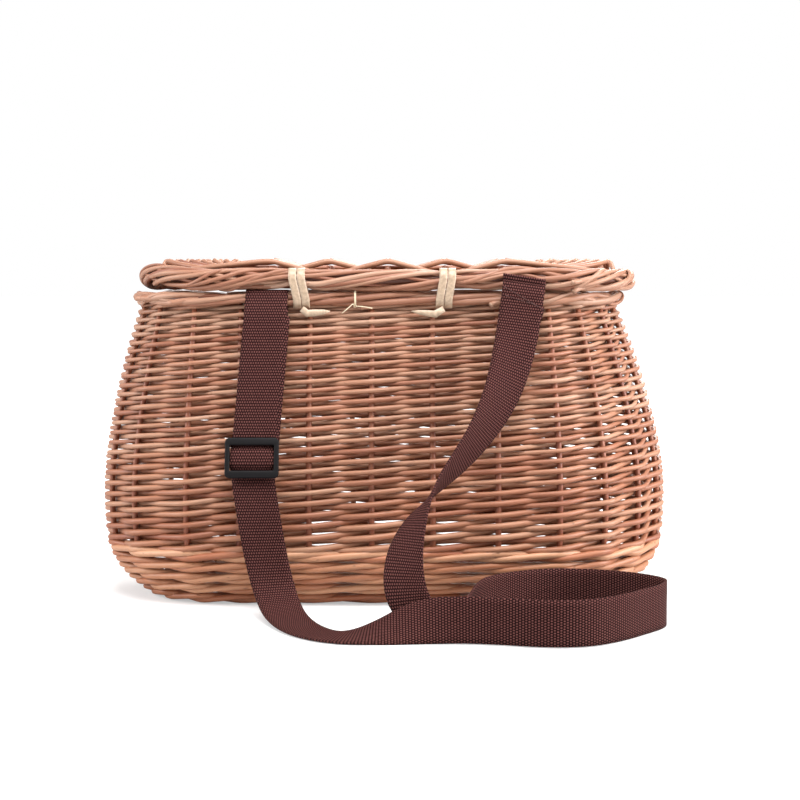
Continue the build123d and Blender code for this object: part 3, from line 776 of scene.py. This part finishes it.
def round_height(rounds):
    """Height of the weave after a number of rounds, which get lower as the rods get thinner."""
    total = RIM_Z - WEAVER_TOP - WALE_TOP
    slowing = (WEAVE_ROUNDS * ROUND_LOW - total) / WEAVE_ROUNDS ** 2
    return WALE_TOP + WEAVER_LOW * FIRST_ROUND + ROUND_LOW * rounds - slowing * rounds ** 2


def weaver_radius(z):
    share = (z - WALE_TOP) / (RIM_Z - WALE_TOP)
    return between(WEAVER_LOW, WEAVER_TOP, max(0, min(1, share)))


def bent_path(corners, radii):
    """Points of a rod that runs straight between its corners and bends at each."""
    points, sizes = [corners[0]], [radii[0]]
    for n in range(len(corners) - 1):
        for share in (1 / 3, 2 / 3):
            points.append(between(corners[n], corners[n + 1], share))
            sizes.append(between(radii[n], radii[n + 1], share))
        points.append(corners[n + 1])
        sizes.append(radii[n + 1])
    return points, sizes


def weaver(start, first, last, tails):
    """One rod of the side: before the even stakes and behind the odd ones, rising as it goes."""
    lift = stray(WEAVER_STRAY)
    fresh = chance.uniform(*WEAVER_VARIES)
    stations = list(range(first, last + 1))
    if tails[0]:
        stations.insert(0, first - TAIL)
    if tails[1]:
        stations.append(last + TAIL)
    corners, radii = [], []
    for station in stations:
        z = round_height(station / 2) + lift + stray(STATION_STRAY)
        taper = between(*ROD_TAPER, (station - first) / ROD_STAKES)
        radius = weaver_radius(z) * fresh * taper
        swing = (STAKE_RADIUS + radius) * BEND
        side = 1 if station % 2 == 0 else -1
        inset = STAKE_RADIUS + 2 * radius - side * swing
        if station != round(station):
            inset += TAIL_DEEPER
        corners.append(side_point(start + station, z, inset))
        radii.append(radius)
    return Rod(*bent_path(corners, radii))


def side_weavers():
    """From every stake a rod spirals up, joined to the next behind a stake."""
    rods = []
    top = 2 * WEAVE_ROUNDS + 1
    for start in range(len(STAKES)):
        joins = list(range(chance.randrange(3, ROD_STAKES, 2), top - 2, ROD_STAKES))
        bounds = [-1] + joins + [top]
        for n, (first, last) in enumerate(zip(bounds, bounds[1:])):
            rods.append(weaver(start, first, last, (n > 0, last != top)))
    return rods


def wale_rods():
    """Rows of three rods, each before two stakes and behind one, rising across the ones ahead."""
    rods = []
    pitch = WALE_TOP / WALE_ROWS
    for row in range(WALE_ROWS):
        middle = pitch * (row + 0.5)
        for lead in range(3):
            corners = []
            radius = WALE_ROD * chance.uniform(*WALE_VARIES)
            for stake in range(len(STAKES)):
                phase = (stake - lead) % 3
                z = max(radius * WALE_CLEAR, middle + WALE_RISES[phase] * pitch + stray(WALE_STRAY))
                behind = 2 * STAKE_RADIUS + WALE_BEHIND * radius
                inset = radius * WALE_BEFORE if phase < 2 else behind
                corners.append(wall_point(stake, z, inset))
            points, sizes = bent_path(corners + corners[:1], [radius] * (len(corners) + 1))
            rods.append(Rod(points[:-1], sizes[:-1], closed=True))
    return rods


def side_stakes():
    rods = []
    for stake in range(len(STAKES)):
        points = [wall_point(stake, z, STAKE_RADIUS + 2 * weaver_radius(z)) for z in STAKE_HEIGHTS]
        radii = [STAKE_RADIUS * between(*STAKE_TAPER, z / RIM_Z) for z in STAKE_HEIGHTS]
        rods.append(Rod(points, radii, tint=chance.uniform(*STAKE_TINTS)))
    return rods


lay_rods("side_weave_rods", side_weavers(), WILLOW, "basket", ["side_weave"], steps=2)
lay_rods("bottom_wale_rods", wale_rods(), LIT_WALE_WILLOW, "basket", ["bottom_wale"])
lay_rods("side_stake_rods", side_stakes(), SHADED_STICK_WILLOW, "basket", ["side_stakes"])


# ---------------------------------------------------------------- borders

def squeeze(point, wraps):
    """1 where a border is free, 0 where cane or webbing is wrapped round it."""
    if point.y > WRAP_FRONT:
        return 1.0
    gap = min(max(0.0, abs(point.x - x) - half) for x, half in wraps)
    return min(1.0, gap / WRAP_EASE)


def corner_lift(point):
    """The lid's back left corner has sprung up a little."""
    if point.y > 0:
        return 0.0
    along, deep = CORNER_RUN
    share = max(0.0, min(1.0, (CORNER_FROM - point.x) / along))
    return CORNER_LIFT * share * share * (3 - 2 * share) * min(1.0, -point.y / deep)


class Border:
    """A border of rods laid side by side round a ring, each winding slowly over the next."""

    def __init__(self, size, free, wrapped, wraps, sprung=False):
        self.plan = Plan(size, BORDER_INSET)
        self.free, self.wrapped, self.wraps = free, wrapped, wraps
        self.sprung = sprung

    def ring_at(self, place):
        """Radius and height of the bundle at a place round it."""
        share = squeeze(place, self.wraps)
        tube = between(self.wrapped[0], self.free[0], share)
        z = between(self.wrapped[1], self.free[1], share)
        if self.sprung:
            z += corner_lift(place) + STRAP_LIFT * (1 - squeeze(place, STRAP_RISES))
        return tube, z

    def spot(self, distance, angle, sunk):
        """Point of the bundle at an angle in degrees from level outwards, a way under its surface."""
        place, out = self.plan.at(distance)
        tube, z = self.ring_at(place)
        deep = tube - sunk
        point = place + out * (deep * cos(radians(angle)))
        point.z = z + deep * sin(radians(angle))
        return point

    def layer(self, count, reach, radius, sunk, back):
        """Rods that come out from below, cross the face and dive in over the top, or the reverse."""
        rods = []
        for n in range(count):
            start = (n + stray(ROLL_STRAY)) * len(STAKES) / count
            span = reach * chance.uniform(*ROLL_SPAN)
            thick = radius * chance.uniform(*ROLL_THICK)
            low, high = chance.uniform(*ROLL_LOW), chance.uniform(*ROLL_HIGH)
            waves, phase = chance.uniform(*ROLL_WAVES), chance.uniform(0, 2 * pi)
            points, radii = [], []
            for step in range(ROLL_STEPS + 1):
                share = step / ROLL_STEPS
                size = thick * between(1.0, ROLL_TIP, share)
                deep = size + sunk + ROLL_WANDER * sin(phase + 2 * pi * waves * share)
                deep += DIVE_DEPTH * max(0.0, share - DIVE_FROM) / (1 - DIVE_FROM)
                deep += RISE_DEPTH * max(0.0, RISE_TO - share) / RISE_TO
                angle = between(low, high, 1 - share if back else share)
                angle += ROLL_SWAY * sin(phase * 2 + 2 * pi * share)
                points.append(self.spot(past_stakes(self.plan, start + span * share), angle, deep))
                radii.append(size)
            rods.append(Rod(points, radii))
        return rods

    def core(self, share, steps=120):
        """The stakes' bent-down ends inside the bundle, as one closed rod."""
        points, radii = [], []
        for step in range(steps):
            place, _ = self.plan.at(self.plan.length * step / steps)
            tube, z = self.ring_at(place)
            points.append(Vector((place.x, place.y, z)))
            radii.append(tube * share)
        # the core takes the ramp's darkest colour, painted shade in the gaps between the border's rods
        return Rod(points, radii, closed=True, tint=CORE_PAINTED_SHADE)

    def along(self, x, steps=600):
        """Distance round the back at which the border is at an x."""
        walk = [self.plan.length * n / steps for n in range(steps)]
        back = [distance for distance in walk if self.plan.at(distance)[0].y < 0]
        return min(back, key=lambda distance: abs(self.plan.at(distance)[0].x - x))

    def butt(self, x, angle, radius):
        """The slanting cut end of a rod that was laid in from outside."""
        start = self.along(x)
        points = [self.spot(start + on, angle + turned, radius * sunk) for on, turned, sunk in BUTT_WAY]
        radii = [radius * share for share in BUTT_TAPER]
        return Rod(points, radii, tint=chance.uniform(*BUTT_TINTS))

    def rods(self, layers, core, butts):
        rods = []
        for layer in layers:
            rods += self.layer(*layer)
        return rods + [self.core(core)] + [self.butt(*where) for where in butts]


body_border = Border(BODY_PLAN, BODY_FREE, BODY_WRAPPED, BODY_WRAPS)
lid_border = Border(LID_PLAN, LID_FREE, LID_WRAPPED, LID_WRAPS, sprung=True)
lay_rods("body_border_rods", body_border.rods(BODY_LAYERS, BODY_CORE, BODY_BUTTS), BORDER_WILLOW,
         "basket", ["body_border"])
lay_rods("lid_border_rods", lid_border.rods(LID_LAYERS, LID_CORE, LID_BUTTS), BORDER_WILLOW,
         "lid", ["lid_border"])


# ---------------------------------------------------------------- lid and base

class Panel:
    """An oval weave: rings of rods over and under crossed sticks, from the middle to the rim."""

    def __init__(self, size, inset, z, stick_radius, rod_radius, pitch, sway, tuck=0.0):
        self.shift = size[2]
        self.edge = Plan(size, inset)
        self.z, self.stick, self.rod = z, stick_radius, rod_radius
        self.sway, self.tuck = sway, tuck
        self.slath = LONG_STICKS * stick_radius * SLATH_ROOM      # half the bundle's width
        self.cross_places = [self.shift + (n - (CROSS_STICKS - 1) / 2) * CROSS_PITCH
                             for n in range(CROSS_STICKS)]
        half_depth = self.edge.end - self.edge.end_y
        self.first = (self.slath + rod_radius) / half_depth
        self.rings = round((1 - self.first) * half_depth / pitch) + 1

    def fan(self, row, x):
        """How far from the middle line a long stick is: bundled, then opened towards the ends."""
        away = max(0.0, abs(x - self.shift) - SLATH_HALF)
        return row * (self.slath * 2 / LONG_STICKS + away * FAN)

    def ring_point(self, distance, share):
        place, _ = self.edge.at(distance)
        near = self.shift + max(-SLATH_HALF, min(SLATH_HALF, place.x - self.shift))
        return between(Vector((near, 0, 0)), place, share)

    def crossings(self, share, opened, steps=900):
        """Distances at which a ring meets the sticks."""
        walk = [self.edge.length * n / steps for n in range(steps + 1)]
        spots = [self.ring_point(distance, share) for distance in walk]
        cross_lines = [lambda spot, x=x: spot.x - x for x in self.cross_places]
        rows = (-1, 0, 1) if opened else (0,)
        long_lines = [lambda spot, row=row: spot.y - self.fan(row, spot.x) for row in rows]
        found = []
        for n in range(steps):
            near, far = spots[n], spots[n + 1]
            in_fan = abs(near.x - self.shift) > SLATH_HALF + SLATH_CLEAR
            for line in cross_lines + long_lines if in_fan else cross_lines:
                if (line(near) < 0) != (line(far) < 0):
                    found.append((walk[n] + walk[n + 1]) / 2)
        return sorted(found)

    def ring_rods(self):
        """Every ring is two rods, each half the way round and a little further."""
        rods = []
        for ring in range(self.rings):
            share = between(self.first, 1.0, ring / (self.rings - 1))
            meets = self.crossings(share, ring >= BUNDLE_RINGS)
            points = []
            swing = (self.stick + self.rod) * self.sway
            for n, here in enumerate(meets):
                ahead = meets[(n + 1) % len(meets)]
                if ahead < here:
                    ahead += self.edge.length
                side = 1 if (n + ring) % 2 == 0 else -1
                for part in range(RING_PARTS):
                    way = part / RING_PARTS
                    point = self.ring_point(between(here, ahead, way), share)
                    point.z = self.z + side * swing * (1 - 2 * way) + stray(RING_STRAY)
                    points.append(point)
            start = chance.randrange(len(meets)) * RING_PARTS
            half = len(points) // 2
            for first in (start, start + half):
                turn = [points[(first + n) % len(points)] for n in range(half + 2 * RING_PARTS)]
                butt = self.rod * chance.uniform(*RING_VARIES)
                sizes = [butt * between(*RING_TAPER, n / len(turn)) for n in range(len(turn))]
                rods.append(Rod(turn, sizes))
        return rods

    def cross_sticks(self, beyond, parts=8):
        rods = []
        for x in self.cross_places:
            back = self.edge.end_y - self.edge.end - beyond
            reach = math.sqrt((self.edge.front + beyond) ** 2 - (x - self.shift) ** 2)
            front = self.edge.front_y + reach
            points = [Vector((x, between(back, front, n / parts), self.z)) for n in range(parts + 1)]
            rods.append(self.tucked(points))
        return rods

    def long_sticks(self, beyond):
        rods = []
        for row in (-1, 0, 1):
            reach = self.long_reach(row, beyond)
            bends = [bend for bend in STICK_BENDS if bend <= reach] + [reach]
            offsets = [-bend for bend in reversed(bends)] + [0] + bends
            points = [Vector((self.shift + x, self.fan(row, self.shift + x), self.z)) for x in offsets]
            rods.append(self.tucked(points))
        return rods

    def long_reach(self, row, beyond):
        """How far from the middle a long stick ends, a way past the edge's round end."""
        reach = FLAT_HALF
        while True:
            y = self.fan(row, self.shift + reach)
            if math.hypot(reach - FLAT_HALF, y - self.edge.end_y) > self.edge.end + beyond:
                return reach
            reach += REACH_STEP

    def tucked(self, points):
        """A stick whose ends bend down into the rim."""
        for end in (points[0], points[-1]):
            end.z -= self.tuck
        return Rod(points, self.stick, tint=chance.uniform(*STICK_TINTS))


def lay_panel(name, panel, body, beyond):
    lay_rods(name + "_weave_rods", panel.ring_rods(), WILLOW, body, [name + "_weave"])
    lay_rods(name + "_cross_stick_rods", panel.cross_sticks(beyond), SHADED_STICK_WILLOW, body,
             [name + "_cross_sticks"])
    lay_rods(name + "_long_stick_rods", panel.long_sticks(beyond), SHADED_STICK_WILLOW, body,
             [name + "_long_sticks"])


base = Panel(size_at(BASE_Z), BASE_INSET + BASE_ROD, BASE_Z, BASE_STICK_RADIUS, BASE_ROD,
             BASE_ROW_PITCH, BASE_SWAY)
lay_panel("base", base, "basket", BASE_BEYOND)
lid = Panel(LID_PLAN, LID_WEAVE_INSET + LID_ROD, LID_WEAVE_Z, LID_STICK_RADIUS, LID_ROD,
            LID_ROW_PITCH, LID_SWAY, LID_TUCK)
lay_panel("lid", lid, "lid", LID_BEYOND)


# ---------------------------------------------------------------- strips

def read_line(points, steps=6):
    """Points read from the smooth spline that a list of points shapes."""
    line = bpy.data.curves.new("route", "CURVE")
    line.dimensions = "3D"
    spline = line.splines.new("NURBS")
    spline.points.add(len(points) - 1)
    for knot, place in zip(spline.points, points):
        knot.co = (*place, 1)
    spline.order_u = 3
    spline.use_endpoint_u = True
    spline.resolution_u = steps
    carrier = bpy.data.objects.new("route", line)
    made = bpy.data.meshes.new_from_object(carrier)
    found = [vert.co.copy() for vert in made.vertices]
    bpy.data.meshes.remove(made)
    bpy.data.objects.remove(carrier)
    bpy.data.curves.remove(line)
    return found


def add_strip(bm, middles, across, half_widths, columns=8):
    """A grid laid along a middle line, with its width and its length as metric UVs."""
    rows = len(middles) - 1
    uv = bm.loops.layers.uv.get("UVMap") or bm.loops.layers.uv.new("UVMap")
    made = bmesh.ops.create_grid(bm, x_segments=columns, y_segments=rows, size=1.0)["verts"]
    run = [0.0]
    for a, b in zip(middles, middles[1:]):
        run.append(run[-1] + (b - a).length)
    spots = {}
    for vert in made:
        row = round((vert.co.y + 1) / 2 * rows)
        offset = vert.co.x * half_widths[row]
        spots[vert] = (offset, run[row])
        vert.co = middles[row] + across[row] * offset
    for face in {face for vert in made for face in vert.link_faces}:
        face.smooth = True
        for loop in face.loops:
            loop[uv].uv = spots[loop.vert]


def thicken(piece, thick):
    wall = piece.modifiers.new("thickness", "SOLIDIFY")
    wall.thickness = thick
    wall.offset = 0
    wall.use_even_offset = True
    return piece


def around(x, y, z, radius, angle):
    """Point at an angle round a level line along X, counted from +Y upwards."""
    return Vector((x, y + radius * cos(angle), z + radius * sin(angle)))


def coil(x, width, turns, radius, y, z, first, steps=10):
    """Points of a thread or a thin end wound round a border."""
    count = round(turns * steps)
    return [around(x + width * (n / count - 0.5), y, z, radius, first + 2 * pi * n / steps)
            for n in range(count + 1)]


# ---------------------------------------------------------------- strap

def webbing_piece(name, middles, body, stands_for, across=None):
    """A stretch of the strap along a middle line, level across where nothing else is given."""
    bm = bmesh.new()
    add_strip(bm, middles, across or [LEVEL] * len(middles), [STRAP_WIDTH / 2] * len(middles))
    return thicken(finish_piece(name, bm, WEB, body, stands_for), STRAP_THICK)


def arc_points(x, first, last, steps=8):
    """Points of webbing round the body border's back, by angles from level inwards."""
    angles = [radians(between(first, last, n / steps)) for n in range(steps + 1)]
    return [around(x, HINGE_Y, BORDER_Z, WEB_ARC, angle) for angle in angles]


def hang_point(z, back=0.0):
    """A point of the left part's straight hang, a given way behind the front layer."""
    x, y, top = STRAP_ROUTE[0][0]
    drop = top - z
    outwards = drop * math.tan(STRAP_HANG) - back / cos(STRAP_HANG)
    return Vector((x - LEFT_LEAN * drop, y - outwards, z))


def left_end():
    """The left end goes over the border and comes back out under it."""
    x, y, z = STRAP_ROUTE[0][0]
    inside = hang_point(RETURN_TOP, LAYER_STEP).y
    points = [Vector((x, y, z))] + arc_points(x, *LEFT_ARC)
    points.append(Vector((x, inside + RETURN_BEND[0], RETURN_TOP + RETURN_BEND[1])))
    points.append(Vector((x, inside, RETURN_TOP)))
    webbing_piece("strap_end_left_webbing", read_line(points, 3), "basket", ["strap_end_left"])


def second_layer():
    """It goes on from the left end down to the adjuster, as a mesh of its own."""
    aside = Vector((LAYER_ASIDE, 0, 0))
    top_end, low_end = [hang_point(z, LAYER_STEP) + aside for z in LAYER_ENDS]
    points = [between(top_end, low_end, n / LAYER_PARTS) for n in range(LAYER_PARTS + 1)]
    layer = webbing_piece("strap_second_layer", read_line(points, 3), "basket", ["strap_return_layer"])
    bpy.context.view_layer.update()
    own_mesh(layer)


def right_end():
    """The right end folds over outside, goes over the border and is sewn down behind itself."""
    (x, y, z), outset = STRAP_ROUTE[-1]
    points = [Vector((x, y + inwards, z + up)) for inwards, up in RIGHT_FOLD]
    points += arc_points(x, *RIGHT_ARC) + [Vector(place) for place in RIGHT_END]
    middles = read_line(points, 3)
    turned = [min(1.0, max(0.0, n / len(middles) * 2 - 0.5)) for n in range(len(middles))]
    across = [Vector(outset).normalized().lerp(-LEVEL, share).normalized() for share in turned]
    webbing_piece("strap_end_right_webbing", middles, "basket", ["strap_end_right"], across)


def strap_face(x, z):
    """Point of the strap's outer face near its right end."""
    rows = [middle + across * ((x - middle.x) / across.x)
            for middle, across in zip(strap_line[-SEAM_ROWS:], strap_across[-SEAM_ROWS:])]
    below = max((n for n in range(len(rows) - 1) if rows[n].z <= z), default=0)
    low, high = rows[below], rows[below + 1]
    y = between(low.y, high.y, (z - low.z) / (high.z - low.z))
    return Vector((x, y - STRAP_THICK / 2 - STITCH_OFF, z))


def seam_stitches():
    """Short thread stitches in two slanting rows over the right end."""
    sunk, proud = Vector((0, STITCH_SUNK, 0)), Vector((0, -STITCH_PROUD, 0))
    rods = []
    for seam in SEAMS:
        first, last = [strap_face(*place) for place in seam]
        count = round((last - first).length / STITCH_PITCH)
        for n in range(count):
            start = between(first, last, n / count)
            end = start + (last - first).normalized() * STITCH_LENGTH
            rods.append(Rod([start + sunk, start + proud, end + proud, end + sunk], STITCH_RADIUS))
    return rods


strap_line = read_line([Vector(place) for place, _ in STRAP_ROUTE])
strap_edge = read_line([Vector(place) + Vector(aside).normalized() * (STRAP_WIDTH / 2)
                        for place, aside in STRAP_ROUTE])
strap_across = [(edge - middle).normalized() for middle, edge in zip(strap_line, strap_edge)]
strap = webbing_piece("strap_webbing", strap_line, "basket", ["strap_run"], strap_across)
left_end()
second_layer()
right_end()


def slide_place():
    """From the adjuster's own frame, level across and in the plane of the hang, to the creel's."""
    outward = Vector((0, -cos(STRAP_HANG), sin(STRAP_HANG)))
    turn = Matrix((LEVEL, outward.cross(LEVEL), outward)).transposed().to_4x4()
    return Matrix.Translation(hang_point(SLIDE_PLACE_Z)) @ turn


SLIDE = slide_place()
hump = [SLIDE @ Vector((0, up, out)) for up, out in HUMP]
webbing_piece("webbing_arch", read_line(hump, 5), "slide_adjuster", ["webbing_over_bar"])
lay_rods("seam_stitches", seam_stitches(), SEAM, "basket", (), roundness=1)


# ---------------------------------------------------------------- slide adjuster

def round_corners(width, height, corner, steps=6):
    """Corner points of a rectangle with rounded corners, in order."""
    points = []
    for n, (sx, sy) in enumerate(((1, 1), (-1, 1), (-1, -1), (1, -1))):
        for step in range(steps + 1):
            angle = pi / 2 * (n + step / steps)
            points.append((sx * (width / 2 - corner) + corner * cos(angle),
                           sy * (height / 2 - corner) + corner * sin(angle)))
    return points


def add_face(bm, outlines, depths, edge):
    """A flat frame cut from outlines, its edges rounded, lying between two depths."""
    low, high = depths
    line = bpy.data.curves.new("outline", "CURVE")
    line.dimensions = "2D"
    line.fill_mode = "BOTH"
    line.extrude = (high - low) / 2 - edge
    line.bevel_depth = edge
    line.bevel_resolution = 2
    line.offset = -edge
    for points in outlines:
        spline = line.splines.new("POLY")
        spline.points.add(len(points) - 1)
        for knot, (x, y) in zip(spline.points, points):
            knot.co = (x, y, 0, 1)
        spline.use_cyclic_u = True
    carrier = bpy.data.objects.new("outline", line)
    made = bpy.data.meshes.new_from_object(carrier)
    made.transform(SLIDE @ Matrix.Translation((0, 0, (low + high) / 2)))
    bm.from_mesh(made)
    bpy.data.meshes.remove(made)
    bpy.data.objects.remove(carrier)
    bpy.data.curves.remove(line)


def add_block(bm, x, width, height, depths, edge):
    """A box with rounded edges, level with the frame's middle."""
    low, high = depths
    made = bmesh.ops.create_cube(bm, size=1.0)["verts"]
    bmesh.ops.scale(bm, vec=(width, height, high - low), verts=made)
    bmesh.ops.translate(bm, vec=(x, 0, (low + high) / 2), verts=made)
    bmesh.ops.transform(bm, matrix=SLIDE, verts=made)
    edges = {side for vert in made for side in vert.link_edges}
    bmesh.ops.bevel(bm, geom=list(edges), offset=edge, segments=3, affect="EDGES", profile=0.5)


def slide_frame():
    """A face with a window, a rail behind each of its sides, and the centre bar between them."""
    bm = bmesh.new()
    outlines = [round_corners(*SLIDE_SIZE, SLIDE_CORNER),
                round_corners(*SLIDE_WINDOW, SLIDE_WINDOW_CORNER)]
    add_face(bm, outlines, SLIDE_FACE, SLIDE_EDGE)
    bmesh.ops.remove_doubles(bm, verts=bm.verts, dist=1e-6)
    for side in (-1, 1):
        add_block(bm, side * (SLIDE_SIZE[0] - SLIDE_RAIL) / 2, SLIDE_RAIL - RAIL_NARROWER,
                  SLIDE_SIZE[1] - 2 * SLIDE_CORNER, RAIL_DEPTHS, RAIL_EDGE)
    add_block(bm, 0, SLIDE_WINDOW[0] + SLIDE_RAIL, CENTRE_BAR, CENTRE_BAR_DEPTHS, SLIDE_EDGE)
    slide = finish_piece("slide_adjuster_frame", bm, PLASTIC, "slide_adjuster", ["slide_adjuster"])
    slide.data.shade_smooth()
    slide.data.set_sharp_from_angle(angle=SHARP_EDGE)


slide_frame()


# ---------------------------------------------------------------- cane hinge loops and thread

def belt_path(low_x, high_x, steps=9):
    """Closed line pulled round the two borders, leaning from one x to another as it goes up."""
    (low_radius, low_z), (high_radius, high_z) = LOOP_LOW, LOOP_HIGH
    lean = math.asin((high_radius - low_radius) / (high_z - low_z))
    turns = ((high_z, high_radius, -lean, pi + lean), (low_z, low_radius, pi + lean, 2 * pi - lean))
    points = []
    for z, radius, first, last in turns:
        for n in range(steps + 1):
            points.append(around(0, HINGE_Y, z, radius, between(first, last, n / steps)))
    points.append(points[0].copy())
    for point in points:
        share = max(0, min(1, (point.z - low_z) / (high_z - low_z)))
        point.x = between(low_x, high_x, share)
    return points


def hinge_loop(name, place, tail, stands_for):
    """Two turns of flat cane round both borders, and the end that is tucked in below."""
    bm = bmesh.new()
    for turn in (-0.5, 0.5):
        path = belt_path(*[x + turn * WRAP_STEP for x in place])
        add_strip(bm, path, [LEVEL] * len(path), [CANE_WIDTH / 2] * len(path), columns=4)
    bmesh.ops.remove_doubles(bm, verts=bm.verts, dist=1e-6)
    line = [Vector((x, TAIL_Y, z)) for x, z, _ in tail]
    across = []
    for n in range(len(line)):
        run = line[min(n + 1, len(line) - 1)] - line[max(n - 1, 0)]
        across.append(Vector((-run.z, 0, run.x)).normalized())
    add_strip(bm, line, across, [half_width for _, _, half_width in tail], columns=2)
    thicken(finish_piece(name, bm, CANE, "basket", stands_for), CANE_THICK)


hinge_loop("cane_loop_left", LEFT_LOOP, LEFT_TAIL, ["hinge_loop_left"])
hinge_loop("cane_loop_right", RIGHT_LOOP, RIGHT_TAIL, ["hinge_loop_right"])

wound = coil(TIE_X, TIE_WIDTH, TIE_TURNS, TIE_RING, HINGE_Y, BORDER_Z, TIE_START)
tie = [Vector(place) for place in TIE_FIRST] + wound + [Vector(place) for place in TIE_LAST]
lay_rods("tie_thread_turns", [Rod(tie, TIE_THREAD, tint=0.5)], THREAD, "basket", ["tie_thread"],
         roundness=1)


# ---------------------------------------------------------------- closing loop and peg

def closing_rod():
    """A thinned rod that winds round the border, widens into the loop and winds on again."""
    width = 2 * CLOSE_CANE * CLOSE_TURNS
    left, right = [coil(CLOSE_X + side * CLOSE_HALF, width, CLOSE_TURNS, CLOSE_RING, FRONT_Y, BORDER_Z,
                        CLOSE_REST - turned)
                   for side, turned in ((-1, 2 * pi * CLOSE_TURNS), (1, 0))]
    bow = [(-x, reach) for x, reach in CLOSE_SIDE] + [(x, reach) for x, reach in reversed(CLOSE_SIDE)]
    middle = [around(CLOSE_X + x, FRONT_Y, BORDER_Z, reach, CLOSE_REST) for x, reach in bow]
    swell = [between(CLOSE_CANE, CLOSE_ROD, min(1, (reach - SWELL_FROM) / SWELL_RUN)) for _, reach in bow]
    radii = [CLOSE_CANE] * len(left) + swell + [CLOSE_CANE] * len(right)
    return Rod(left + middle + right, radii, tint=0.4)


lay_rods("closing_loop_rod", [closing_rod()], BORDER_WILLOW, "closing_loop", ["closing_loop"])
peg = Rod([Vector((CLOSE_X, y, PEG_Z + rise)) for y, rise, _ in PEG_SHAPE],
          [PEG_RADIUS * share for _, _, share in PEG_SHAPE], tint=0.6)
lay_rods("closing_peg_rod", [peg], BORDER_WILLOW, "lid", ["closing_peg"])


# ---------------------------------------------------------------- studio

def place_camera(scene):
    lens = bpy.data.cameras.new("camera")
    lens.lens = CAMERA_LENS
    lens.sensor_width = CAMERA_FRAME
    camera = bpy.data.objects.new("camera", lens)
    camera.location = CAMERA_PLACE
    camera.rotation_euler = (radians(90 - CAMERA_DIP), 0, 0)
    scene.collection.objects.link(camera)
    scene.camera = camera


def hang_backdrop(scene):
    """White where the camera sees it, and a soft light from all round."""
    world = bpy.data.worlds.new("studio")
    world.use_nodes = True
    scene.world = world
    wire = Wiring(world.node_tree)
    back = world.node_tree.nodes["Background"]
    seen = wire.node("ShaderNodeBackground")
    for node, strength in ((back, BACKDROP_LIGHT), (seen, 1.0)):
        node.inputs["Color"].default_value = (1, 1, 1, 1)
        node.inputs["Strength"].default_value = strength
    rays = wire.node("ShaderNodeLightPath")
    mixed = wire.node("ShaderNodeMixShader")
    shown = wire.math("MAXIMUM", rays.outputs["Is Camera Ray"], rays.outputs["Is Glossy Ray"])
    wire.link(shown, mixed.inputs[0])
    wire.link(back.outputs[0], mixed.inputs[1])
    wire.link(seen.outputs[0], mixed.inputs[2])
    wire.link(mixed.outputs[0], world.node_tree.nodes["World Output"].inputs["Surface"])


def set_lamp(scene, name, place, target, size, power):
    light = bpy.data.lights.new(name, "AREA")
    light.size = size
    light.energy = power
    holder = bpy.data.objects.new(name, light)
    holder.location = place
    holder.rotation_euler = (Vector(target) - Vector(place)).to_track_quat("-Z", "Y").to_euler()
    scene.collection.objects.link(holder)


def white_paper():
    """Takes shadows near the basket, and is as white as the backdrop further off."""
    paper = bpy.data.materials.new("white_paper")
    paper.use_nodes = True
    wire = Wiring(paper.node_tree)
    surface = paper.node_tree.nodes["Principled BSDF"]
    surface.inputs["Base Color"].default_value = FLOOR_GREY
    surface.inputs["Roughness"].default_value = FLOOR_ROUGH
    surface.inputs["Specular IOR Level"].default_value = 0.0
    away = wire.node("ShaderNodeVectorMath", operation="LENGTH")
    wire.link(wire.node("ShaderNodeTexCoord").outputs["Object"], away.inputs[0])
    past = wire.math("SUBTRACT", away.outputs["Value"], SHADOW_REACH)
    fade = wire.math("MULTIPLY", past, SHADOW_FADE, clamp=True)
    glow = wire.node("ShaderNodeEmission")
    strength = wire.math("ADD", wire.math("MULTIPLY", fade, FLOOR_GLOW_MORE), FLOOR_GLOW)
    wire.link(strength, glow.inputs["Strength"])
    # only the camera sees the glow, so it doesn't light the basket
    none = wire.node("ShaderNodeEmission")
    none.inputs["Strength"].default_value = 0.0
    pick = wire.node("ShaderNodeMixShader")
    wire.link(wire.node("ShaderNodeLightPath").outputs["Is Camera Ray"], pick.inputs[0])
    wire.link(none.outputs[0], pick.inputs[1])
    wire.link(glow.outputs[0], pick.inputs[2])
    both = wire.node("ShaderNodeAddShader")
    wire.link(surface.outputs[0], both.inputs[0])
    wire.link(pick.outputs[0], both.inputs[1])
    wire.link(both.outputs[0], paper.node_tree.nodes["Material Output"].inputs["Surface"])
    return paper


def lay_floor(scene):
    bm = bmesh.new()
    bmesh.ops.create_grid(bm, x_segments=4, y_segments=4, size=FLOOR_HALF)
    mesh = bpy.data.meshes.new("floor")
    bm.to_mesh(mesh)
    bm.free()
    mesh.materials.append(white_paper())
    floor = bpy.data.objects.new("floor", mesh)
    floor.location.z = -FLOOR_DROP
    scene.collection.objects.link(floor)


def studio(scene):
    scene.view_settings.view_transform = "Standard"
    place_camera(scene)
    hang_backdrop(scene)
    for lamp in LAMPS:
        set_lamp(scene, *lamp)
    lay_floor(scene)


studio(bpy.context.scene)
